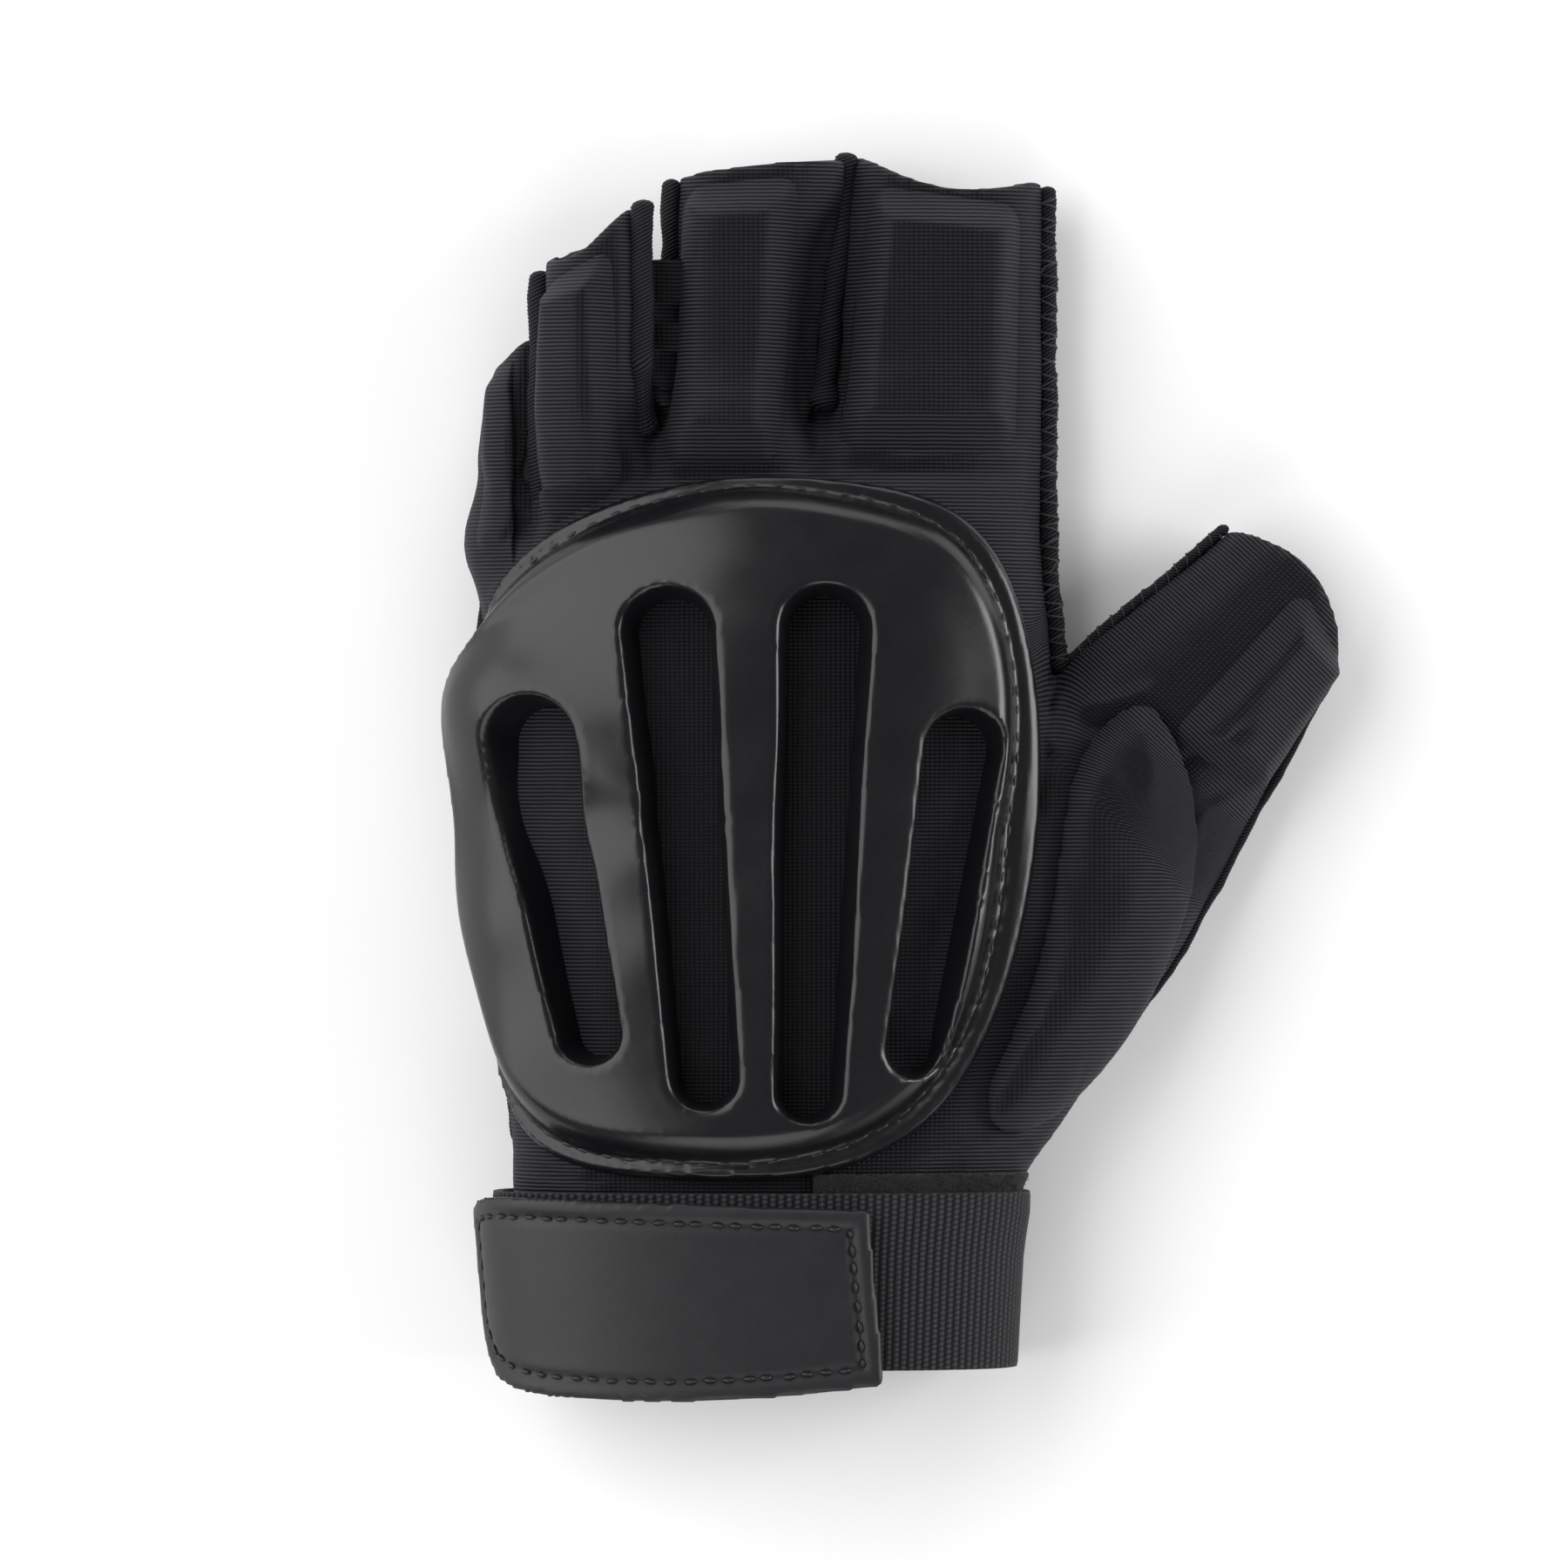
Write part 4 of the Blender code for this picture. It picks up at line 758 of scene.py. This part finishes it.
def make_pad(node, surface, height, outward):
    """A foam pad under the cloth: it rises out of the skin and has chamfered edges."""
    points = points_of(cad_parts[node])
    long, cross, thick = main_axes(points, np.array(outward))
    middle = points.mean(axis=0)
    flat = np.stack([(points - middle) @ cross, (points - middle) @ long], axis=1)
    signs = ((-1, -1), (1, -1), (1, 1), (-1, 1))
    corners = [flat[(flat @ np.array(sign)).argmax()] for sign in signs]
    width = np.linalg.norm(corners[1] - corners[0])
    length = np.linalg.norm(corners[3] - corners[0])
    a, b, edge = pad_grid(node, width, length)
    weights = ((1 - a) * (1 - b), a * (1 - b), a * b, (1 - a) * b)
    plan = sum(weight[..., None] * corner for weight, corner in zip(weights, corners))
    base, normal = np.empty((*a.shape, 3)), np.empty((*a.shape, 3))
    for i, j in np.ndindex(a.shape):
        lean = min(max(a[i, j], 0.0), 1.0)
        ray = unit(thick * (1.0 - lean) + np.array((0.0, 0.0, lean)))
        target = middle + plan[i, j, 0] * cross + plan[i, j, 1] * long
        base[i, j], normal[i, j] = surface.cast(target + ray * PAD_RAY, -ray)
        if np.linalg.norm(base[i, j] - target) > PAD_REACH:
            base[i, j], normal[i, j] = surface.tree.find_nearest(Vector(target))[:2]
    for _ in range(6):
        normal = spread_out(normal)
    normal = unit(normal)
    top = base + normal * pad_height(edge, height)[..., None]
    bottom = base - normal * (PAD_SINK + PAD_BACK)
    vertices = np.concatenate([top.reshape(-1, 3), bottom.reshape(-1, 3)])
    name = node.replace("pad_", "padding_")
    made = new_piece(name, vertices, slab_faces(*a.shape, False), KNIT)
    cloth_weave(made)
    settle(made, [node])


def spread_out(values):
    """One round of averaging over a grid, with its edges kept."""
    padded = np.pad(values, ((1, 1), (1, 1), (0, 0)), mode="edge")
    return (
        values * 4 + padded[:-2, 1:-1] + padded[2:, 1:-1] + padded[1:-1, :-2] + padded[1:-1, 2:]
    ) / 8.0


def closed_curve(points, count):
    """Points of a closed smooth curve through an outline's few points."""
    points = np.array(points, float)
    total = len(points)
    at = np.arange(count) * total / count
    i = at.astype(int)
    s = (at - i)[:, None]
    p0, p1, p2, p3 = (points[(i + n) % total] for n in (-1, 0, 1, 2))
    square, cube = 2 * p0 - 5 * p1 + 4 * p2 - p3, 3 * p1 - p0 - 3 * p2 + p3
    return 0.5 * (2 * p1 + (p2 - p0) * s + square * s**2 + cube * s**3)


def plate_rings(surface, outline, centre, distances, shares, lift):
    """Points and normals on a surface, in rings from an outline to its middle.

    Each ring's start is moved until the point that is lift over it has the outline's place in plan.
    """
    base, normal = [], []
    for target in outline:
        place = np.array(target)
        for _ in range(SEEK_ROUNDS):
            place = place + (target - surface.normal(*place)[:2] * lift - place) * SEEK_STEP
        path = np.array([place + (centre - place) * t for t in np.linspace(0.0, 1.0, PATH_STEPS)])
        hits = np.array([surface.drop(*p)[0] for p in path])
        normals = np.array([surface.normal(*p) for p in path])
        at = length_along(hits)
        reach = np.concatenate([distances, distances[-1] + (at[-1] - distances[-1]) * np.array(shares)])
        base.append(sample(reach, at, hits))
        normal.append(sample(reach, at, normals))
    base, normal = np.array(base).transpose(1, 0, 2), np.array(normal).transpose(1, 0, 2)
    for _ in range(4):
        base, normal = around(base), around(normal)
    base[..., :2] = calm(base[..., :2], CALM_WAVES)
    base[..., 2:] = calm(base[..., 2:], CALM_WAVES_UP)
    return base, unit(calm(normal, CALM_WAVES_UP))


def calm(values, waves):
    """Closed rings without the waves that go round them more than so many times."""
    spectrum = np.fft.rfft(values, axis=1)
    keep = np.exp(-((np.arange(spectrum.shape[1]) / waves) ** 4))
    return np.fft.irfft(spectrum * keep[None, :, None], values.shape[1], axis=1)


def around(values):
    """One round of averaging along closed rings, and lightly between them."""
    values = (np.roll(values, 1, axis=1) + 2 * values + np.roll(values, -1, axis=1)) / 4.0
    inner = values.copy()
    inner[1:-1] = (values[:-2] + 6 * values[1:-1] + values[2:]) / 8.0
    return inner


def shell_height(distance, flange):
    """Thickness of the shell at a distance in from its edge. The flange ends at the stitch groove."""
    inside = distance - flange
    dome = SHELL_EDGE + (SHELL_SHOULDER - SHELL_EDGE) * smoothstep(RAMP_START, SHOULDER_REACH, inside)
    dome = dome + (SHELL_CROWN - SHELL_SHOULDER) * smoothstep(0.001, SHELL_DOME_REACH, inside)
    groove = np.exp(-((inside / GROOVE_HALF_WIDTH) ** 2))
    rounding = EDGE_ROUNDING * (1.0 - smoothstep(0.0, EDGE_ROUNDING_REACH, distance)) ** 2
    return dome - GROOVE_DEPTH * groove - rounding


def vent_distance(points):
    """Plan distance from the nearest vent's outline at the cloth, negative inside it."""
    nearest = np.full(len(points), 1.0)
    for row in VENT_ROWS:
        vent = dict(zip(VENT_COLUMNS, row))
        turn = math.radians(vent["angle"])
        forward = np.array((-math.sin(turn), math.cos(turn)))
        offset = points - VENT_FAN_CENTRE
        along = offset @ forward
        over = np.abs(offset @ np.array((forward[1], -forward[0])))
        share = np.clip((along - vent["near"]) / (vent["far"] - vent["near"]), 0.0, 1.0)
        radius = vent["near_half_width"] + (vent["far_half_width"] - vent["near_half_width"]) * share
        beyond = along - (vent["near"] + (vent["far"] - vent["near"]) * share)
        nearest = np.minimum(nearest, np.hypot(beyond, over) - radius)
    return nearest


def make_shell(surface):
    """The moulded shell with its flange, stitch groove and vents. Gives the groove's line."""
    low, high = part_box("back_shell")
    size = np.array((high - low)[:2])
    corner = np.array(low[:2])
    outline = even_steps(closed_curve(SHELL_OUTLINE, OUTLINE_POINTS) * size + corner, SHELL_COLUMNS)
    centre = np.array(SHELL_CENTRE) * size + corner
    distances = np.arange(0.0, OUTER_REACH, RING_PITCH)
    shares = np.linspace(0.0, LAST_RING, INNER_RINGS)[1:]
    base, normal = plate_rings(surface, outline, centre, distances, shares, SHELL_SEAT + SHELL_EDGE)
    distance = np.concatenate([distances, [distances[-1]] * len(shares)])
    vents = vent_distance(base.reshape(-1, 3)[:, :2]).reshape(base.shape[:2])
    wall = smoothstep(RAMP_START, VENT_BEVEL, vents)
    direction = np.degrees(np.arctan2(outline[:, 1] - centre[1], outline[:, 0] - centre[0]))
    flange = np.interp(direction, FLANGE_DIRECTIONS, FLANGE_WIDTHS)
    height = shell_height(distance[:, None], flange[None, :]) * wall - (1.0 - wall) * VENT_SINK
    top = base + normal * (SHELL_SEAT + height)[..., None]
    under = SHELL_SEAT - (1.0 - wall) * (VENT_SINK + VENT_SHEET)
    bottom = base + normal * under[..., None]
    last = (len(distance) - 1) * SHELL_COLUMNS
    count = top.shape[0] * top.shape[1]
    faces = slab_faces(*top.shape[:2], True)
    faces = [face for face in faces if not all(i % count >= last for i in face)]
    cap = list(range(last, last + SHELL_COLUMNS))
    faces += [cap, [i + count for i in reversed(cap)]]
    made = new_piece("shell", np.concatenate([top.reshape(-1, 3), bottom.reshape(-1, 3)]), faces)
    remesh(made, SHELL_VOXEL)
    relax(made, 6)
    made.data.shade_smooth()
    made.data.materials.append(MOULDED)
    settle(made, ["back_shell"])
    ring = np.argmin(np.abs(distances[:, None] - flange[None, :]), axis=0)
    every = np.arange(SHELL_COLUMNS)
    return top[ring, every], normal[ring, every]


def stitch_points(start, end, up):
    """The points of a short thread with round, sunken ends."""
    forward = unit(end - start)
    side = unit(np.cross(forward, up))
    rise = np.cross(side, forward)
    t = np.linspace(0.0, 1.0, STITCH_STATIONS)[:, None]
    swell = STITCH_RADIUS * np.sqrt(np.maximum(1.0 - (2 * t - 1) ** 4, 0.05))
    arch = rise * STITCH_RADIUS * (0.9 * np.sin(math.pi * t) - 0.5)
    return tube_points(start + (end - start) * t + arch, side[None], rise[None], turns(STITCH_SIDES), swell)


def make_stitches(name, line, normal, sizes, closed):
    """Single thread stitches along a line, each a little uneven."""
    if closed:
        line, normal = np.vstack([line, line[:1]]), np.vstack([normal, normal[:1]])
    pitch, length = sizes
    at = length_along(line)
    count = int(at[-1] / pitch)
    real_pitch = at[-1] / count
    one = tube_faces(STITCH_STATIONS, STITCH_SIDES)
    vertices, faces = [], []
    for n in range(count):
        begin = n * real_pitch + random.uniform(-0.12, 0.12) * pitch
        start, end = sample(begin, at, line), sample(begin + length, at, line)
        up = sample(begin + length / 2, at, normal)
        sideways = unit(np.cross(end - start, up))
        start = start + sideways * random.uniform(-0.25, 0.25) * STITCH_RADIUS
        end = end + sideways * random.uniform(-0.6, 0.6) * STITCH_RADIUS
        faces += [[i + len(vertices) for i in face] for face in one]
        vertices.extend(stitch_points(start, end, up))
    settle(new_piece(name, vertices, faces, THREAD), [])


def roll_line(node):
    """The middle line of a seam roll's solid, from its rings of points."""
    made = node_copy(node, node)
    points = points_of(made)
    bpy.data.objects.remove(made)
    long = main_axes(points, np.array((0.0, 0.0, 1.0)))[0]
    points = points[np.argsort(points @ long)]
    breaks = np.flatnonzero(np.diff(points @ long) > RING_GAP) + 1
    rings = np.array([ring.mean(axis=0) for ring in np.split(points, breaks)])
    at = length_along(rings)
    line = sample(np.arange(0.0, at[-1], ROLL_STEP), at, rings)
    reach = int(ROLL_CALM / ROLL_STEP)
    kernel = np.hanning(reach) / np.hanning(reach).sum()
    beyond = ((reach // 2, reach - 1 - reach // 2), (0, 0))
    padded = np.pad(line, beyond, mode="reflect", reflect_type="odd")
    return np.stack([np.convolve(column, kernel, mode="valid") for column in padded.T], axis=1)


def longer(line, lower, upper):
    """A line with straight pieces added to its two ends."""
    start, end = line[0] - line[END_STEPS], line[-1] - line[-1 - END_STEPS]
    before = np.arange(int(lower / ROLL_STEP), 0, -1)[:, None] * ROLL_STEP
    after = np.arange(1, int(upper / ROLL_STEP) + 1)[:, None] * ROLL_STEP
    return np.concatenate([line[0] + unit(start) * before, line, line[-1] + unit(end) * after])


def line_frames(line, up=(0.0, 0.0, 1.0)):
    """A sideways and an upward direction at each point of a line."""
    forward = unit(np.gradient(line, axis=0))
    side = unit(np.cross(forward, up))
    return side, np.cross(side, forward)


def drift(at, scale, size):
    """A slow random wander along a line."""
    total = np.zeros_like(at)
    for octave in (1.0, 0.47, 0.21):
        total += octave * np.sin(2 * math.pi * at / (scale * octave) + random.uniform(0, 2 * math.pi))
    return total * size / 1.7


def make_roll(node, width, knob, toward, lower, upper, lift, threads):
    """A rolled seam edge in ribbed cloth.

    knob thickens its lower end. toward shifts its two ends and lift raises it to meet the cloth.
    lower and upper lengthen it.
    """
    line = longer(roll_line(node), lower, upper)
    at = length_along(line)
    side, rise = line_frames(line)
    shift = toward[0] + (toward[1] - toward[0]) * at / at[-1] + drift(at, *ROLL_SIDEWAYS)
    line = line + side * shift[:, None] + rise * (drift(at, *ROLL_UPWARD) + lift)[:, None]
    radius = 1.0 + drift(at, *ROLL_WIDTH_WANDER)
    uneven = drift(at, *WHIPPED_WIDTH_WANDER)
    radius = ROLL_RADIUS * width * (radius + uneven * (threads > 0))
    radius = radius * (1.0 + knob * np.exp(-(((at - KNOB_PLACE) / KNOB_REACH) ** 2)))
    for end in (at, at[-1] - at):
        inward = np.clip(end / ROLL_END, 0.0, 1.0)
        radius = radius * np.sqrt(np.clip(1.0 - (1.0 - inward) ** 2, 0.004, 1.0))
    turn = turns(ROLL_SIDES) - math.pi / 2
    climb = at[:, None] + ROLL_TWIST * RIB_PITCH * (turn[None, :] + math.pi / 2) / (2 * math.pi)
    relief = ROLL_RIB * np.sin(2 * math.pi * climb / RIB_PITCH)
    lumps = 1.0 + 0.06 * np.sin(2 * turn + 0.7)[None, :]
    name = node.replace("seam", "roll")
    points = tube_points(line, side, rise, turn, radius[:, None] * lumps + relief)
    made = new_piece(name, points, tube_faces(*climb.shape), ROLLED)
    add_weave(made, climb, np.tile(turn * ROLL_RADIUS, len(line)), np.zeros(climb.size))
    settle(made, [node])
    for number, pitch in enumerate(THREAD_PITCHES[:threads], start=1):
        whip(f"{node.replace('seam', 'whipping')}_{number}", line, radius, pitch)


def whip(name, line, radius, pitch):
    """An overlock thread wound round a seam roll."""
    at = length_along(line)
    side, rise = line_frames(line)
    steps = np.arange(THREAD_INSET, at[-1] - THREAD_INSET, abs(pitch) / THREAD_STEPS)
    turn = 2 * math.pi * steps / pitch + drift(steps, *THREAD_SLIP)
    core, side, rise = (sample(steps, at, values) for values in (line, side, rise))
    reach = np.interp(steps, at, radius) + THREAD_RADIUS * (0.5 + drift(steps, *THREAD_LIFT))
    path = core + (side * np.cos(turn)[:, None] + rise * np.sin(turn)[:, None]) * reach[:, None]
    thickness = np.full((len(path), THREAD_SIDES), THREAD_RADIUS)
    points = tube_points(path, *line_frames(path, THREAD_UP), turns(THREAD_SIDES), thickness)
    settle(new_piece(name, points, tube_faces(*thickness.shape), OVERLOCK), [])


def band_ring(surface, centre, y):
    """A smooth closed line round the band's solid at one place along the arm."""
    ring = []
    for turn in np.linspace(0.0, 2 * math.pi, BAND_RAYS, endpoint=False):
        ray = np.array((math.cos(turn), 0.0, math.sin(turn)))
        ring.append(surface.cast(np.array((centre[0], y, centre[2])) + ray * RAY_START, -ray)[0])
    ring = np.array(ring)
    for _ in range(8):
        ring = (np.roll(ring, 1, axis=0) + 2 * ring + np.roll(ring, -1, axis=0)) / 4
    return ring


def band_rows(low, high, columns):
    """The band's rows, its face first: place along the arm and height over the solid, then its beads."""
    picks = int((high - low) / BAND_PICK) * BAND_PICK_CELLS
    column = np.sin(math.pi * np.arange(columns) / BAND_COLUMN_CELLS) ** 2
    offset_pick = (np.arange(columns) // BAND_COLUMN_CELLS % 2) * 0.5
    rows, beads = [], []
    for i, y in enumerate(np.linspace(high, low, picks + 1)):
        pick = np.sin(math.pi * (i / BAND_PICK_CELLS + offset_pick)) ** 2
        selvedge = smoothstep(0.0, SELVEDGE, min(high - y, y - low))
        beads.append(column * (0.2 + 0.8 * pick))
        rows.append((y, BAND_RELIEF * (beads[-1] - 1.0) * selvedge - BAND_INSET * (1 - selvedge)))
    edge = [(share, BAND_ROUNDING * math.sin(math.pi * share)) for share in (0.12, 0.5, 0.88)]
    rows += [(low - out, -BAND_INSET - BAND_THICKNESS * share) for share, out in edge]
    rows += [(y, -BAND_INSET - BAND_THICKNESS) for y in np.linspace(low, high, 7)]
    rows += [(high + out, -BAND_INSET - BAND_THICKNESS * share) for share, out in reversed(edge)]
    return rows, beads + [np.full(columns, 0.4)] * (len(rows) - len(beads))


def make_band():
    """Elastic webbing round the wrist, with its woven beads as real relief."""
    low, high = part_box("wrist_band")
    surface = Surface(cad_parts["wrist_band"])
    centre = (np.array(low) + np.array(high)) / 2
    levels = np.linspace(low[1] + BAND_INSET, high[1] - BAND_INSET, BAND_LEVELS)
    loops = [band_ring(surface, centre, y) for y in levels]
    middle = loops[BAND_LEVELS // 2]
    girth = length_along(np.vstack([middle, middle[:1]]))[-1]
    columns = int(girth / BAND_PATTERN) * BAND_COLUMN_CELLS
    loops = np.array([even_steps(ring, columns) for ring in loops]).reshape(BAND_LEVELS, -1)
    rows, beads = band_rows(low[1], high[1], columns)
    points = []
    for y, height in rows:
        ring = sample(y, levels, loops).reshape(columns, 3)[:, (0, 2)]
        tangent = unit(np.roll(ring, -1, axis=0) - np.roll(ring, 1, axis=0))
        outward = np.stack([tangent[:, 1], -tangent[:, 0]], axis=1)
        ring = ring + outward * np.broadcast_to(height, columns)[:, None]
        points.append(np.stack([ring[:, 0], np.full(columns, y), ring[:, 1]], axis=1))
    ids = grid_ids(len(rows), columns, True)
    faces = quads(np.vstack([ids, ids[:1]])).tolist()
    made = new_piece("elastic_band", np.concatenate(points), faces, WEBBING)
    store(made, "bead", beads)
    settle(made, ["wrist_band"])


class Band:
    """The band's CAD surface, which gives the outward direction round the wrist."""

    def __init__(self):
        self.surface = Surface(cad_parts["wrist_band"])
        low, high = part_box("wrist_band")
        self.low, self.high = low[1] + BAND_MARGIN, high[1] - BAND_MARGIN

    def outward(self, point):
        level = Vector((point[0], min(max(point[1], self.low), self.high), point[2]))
        return np.array(self.surface.tree.find_nearest(level)[1])


def top_outline(node, band):
    """The edge round a slab's outer face, as a loop of points."""
    made = node_copy(node, node)
    shape = bmesh.new()
    shape.from_mesh(made.data)
    bpy.data.objects.remove(made)
    near = {}
    for edge in shape.edges:
        outward = band.outward((edge.verts[0].co + edge.verts[1].co) / 2)
        facing = [np.array(face.normal) @ outward > 0.7 for face in edge.link_faces]
        if sum(facing) == 1:
            first, second = edge.verts
            near.setdefault(first, []).append(second)
            near.setdefault(second, []).append(first)
    start = next(iter(near))
    loop, before, now = [np.array(start.co)], start, near[start][0]
    while now is not start:
        loop.append(np.array(now.co))
        before, now = now, next(v for v in near[now] if v is not before)
    shape.free()
    return np.array(loop)


def make_tab():
    """The rubber closing tab: a soft grain, a raised border and a stitched line inside it."""
    band = Band()
    outline = even_steps(top_outline("closure_tab", band), TAB_OUTLINE_POINTS)
    made = smooth_copy("closure_tab", "strap_tab", TAB_VOXEL, 0.0, 8, RUBBER)
    surface = Surface(made)
    tree = KDTree(len(outline))
    for i, point in enumerate(outline):
        tree.insert(point, i)
    tree.balance()
    middle = outline.mean(axis=0)
    line, normals = [], []
    for point, along in zip(outline, np.roll(outline, -1, axis=0) - np.roll(outline, 1, axis=0)):
        out = band.outward(point)
        inward = np.cross(out, along)
        inward *= math.copysign(1.0, inward @ (middle - point)) / np.linalg.norm(inward)
        hit, normal = surface.cast(point + inward * TAB_STITCH_INSET + out * TAB_RAY, -out)
        if tree.find(hit)[2] > TAB_STITCH_INSET * 0.93:
            line.append(hit)
            normals.append(normal)
    line, normals = np.array(line), np.array(normals)
    points, outward = points_of(made), normals_of(made)
    facing = np.array([band.outward(p) @ n > 0.6 for p, n in zip(points, outward)])
    edge = np.array([tree.find(p)[2] for p in points])
    dip = np.exp(-(((edge - TAB_STITCH_INSET) / TAB_GROOVE_WIDTH) ** 2)) * -TAB_GROOVE_DEPTH
    inner = TAB_STITCH_INSET + TAB_BORDER_FADE
    border = TAB_BORDER_RISE * (1.0 - smoothstep(TAB_STITCH_INSET, inner, edge))
    points += outward * ((dip + border) * facing)[:, None]
    set_points(made, points)
    settle(made, ["closure_tab"])
    line = line - normals * TAB_STITCH_SINK
    make_stitches("tab_stitches", line, normals, TAB_STITCHES, True)


def make_patch():
    """The loop patch: a fuzzy pile of small thread loops on its ground."""
    made = smooth_copy("loop_patch", "fuzzy_patch", PATCH_VOXEL, 0.0, 4, PILE)
    settle(made, ["loop_patch"])
    points, outward = points_of(made), normals_of(made)
    upper = np.flatnonzero(outward[:, 2] > 0.2)
    vertices, faces = [], []
    for i in random.choice(upper, PATCH_LOOPS):
        up = outward[i]
        turn = random.uniform(0, 2 * math.pi)
        along = np.array((math.cos(turn), math.sin(turn), 0.0))
        height = PATCH_LOOP_HEIGHT * random.uniform(0.5, 1.2)
        side = np.cross(up, along) * PATCH_THREAD
        for k, t in enumerate((0.0, 0.25, 0.5, 0.75, 1.0)):
            point = points[i] + along * (t - 0.5) * PATCH_LOOP_SPAN
            point = point + up * height * math.sin(math.pi * t) - up * PATCH_LOOP_SINK
            if k:
                a = len(vertices) - 3
                faces += [(a + p, a + q, a + q + 3, a + p + 3) for p, q in ((0, 1), (1, 2), (2, 0))]
            vertices += [point - side, point + side, point + up * PATCH_THREAD_HEIGHT]
    settle(new_piece("patch_loops", vertices, faces, PILE), [])


def make_cushion(surface):
    """The thumb's padded cushion. A cloth simulation blows up its top, while its edge stays on the skin."""
    made = smooth_copy("thumb_cushion", "base_cushion", CUSHION_VOXEL, 0.0, 6)
    start = points_of(made)
    swell_cushion(made, surface)
    moved = points_of(made) - start
    far = np.linalg.norm(moved, axis=1)
    keep = np.minimum(1.0, CUSHION_CAP / np.maximum(far, 1e-9))
    set_points(made, start + moved * keep[:, None])
    subdivide(made, 1)
    made.data.shade_smooth()
    made.data.materials.append(KNIT)
    cloth_weave(made)
    settle(made, ["thumb_cushion"])
    plan = even_steps(np.array(CUSHION_STITCH_LINE), CUSHION_LINE_POINTS, closed=False)
    cover = Surface(made)
    hits = [max(cover.drop(*p), surface.drop(*p), key=lambda hit: hit[0][2]) for p in plan]
    line = np.array([hit[0] for hit in hits])
    normal = np.array([hit[1] for hit in hits])
    make_stitches("cushion_stitches", line, normal, CUSHION_STITCHES, False)


def swell_cushion(made, surface):
    """Blows the cushion up with the cloth solver."""
    points = points_of(made)
    height = np.array([(Vector(p) - surface.tree.find_nearest(Vector(p))[0]).length for p in points])
    set_points(made, points * CUSHION_SCALE)
    held = made.vertex_groups.new(name="held")
    for i in np.flatnonzero(height < CUSHION_HELD):
        held.add([int(i)], 1.0, "REPLACE")
    cloth = made.modifiers.new("cloth", "CLOTH")
    cloth.settings.vertex_group_mass = "held"
    cloth.settings.use_pressure = True
    cloth.settings.uniform_pressure_force = CUSHION_PRESSURE
    cloth.settings.effector_weights.gravity = 0.0
    cloth.point_cache.frame_start = 1
    cloth.point_cache.frame_end = CUSHION_FRAMES
    for step in range(1, CUSHION_FRAMES + 1):
        bpy.context.scene.frame_set(step)
    bake(made)
    bpy.context.scene.frame_set(1)
    set_points(made, points_of(made) / CUSHION_SCALE)


KNIT = knit_material("knit_fabric", (0.0008, 0.0008, 0.0016), (0.0390, 0.0375, 0.0450))
ROLLED = knit_material("seam_binding", (0.0008, 0.0008, 0.0016), (0.0290, 0.0280, 0.0340))
SUEDE = plain_material(
    "palm_suede", (0.007, 0.007, 0.008), (0.015, 0.015, 0.017), 2600.0, 0.00012, 0.92, sheen=0.15
)
MOULDED = plain_material(
    "moulded_shell", (0.0045, 0.0045, 0.0056), (0.007, 0.007, 0.0085), 1800.0, 0.000006, 0.27, specular=0.42
)
RUBBER = plain_material(
    "strap_rubber", (0.0055, 0.0055, 0.007), (0.0095, 0.0095, 0.0118), 2900.0, 0.00004, 0.48, specular=0.42
)
THREAD = plain_material("thread", (0.0008, 0.0008, 0.0012), (0.003, 0.003, 0.004), 5200.0, 0.00008, 0.45)
OVERLOCK = plain_material(
    "overlock", (0.006, 0.006, 0.007), (0.026, 0.026, 0.030), 2600.0, 0.00008, 0.70, sheen=0.1
)
PILE = plain_material(
    "loop_pile", (0.001, 0.001, 0.0016), (0.0055, 0.0055, 0.007), 2400.0, 0.0002, 0.95, sheen=0.1
)
WEBBING = webbing_material("elastic_webbing", (0.0012, 0.0012, 0.0020), (0.0480, 0.0480, 0.0540))

make_stage()
skin = Surface(make_skins())
for node, height, outward in PADS:
    make_pad(node, skin, height, outward)
make_cushion(skin)
groove, groove_normal = make_shell(skin)
make_stitches("shell_stitches", groove, groove_normal, SHELL_STITCHES, True)
for row in ROLL_ROWS:
    make_roll(*row)
make_band()
make_tab()
make_patch()
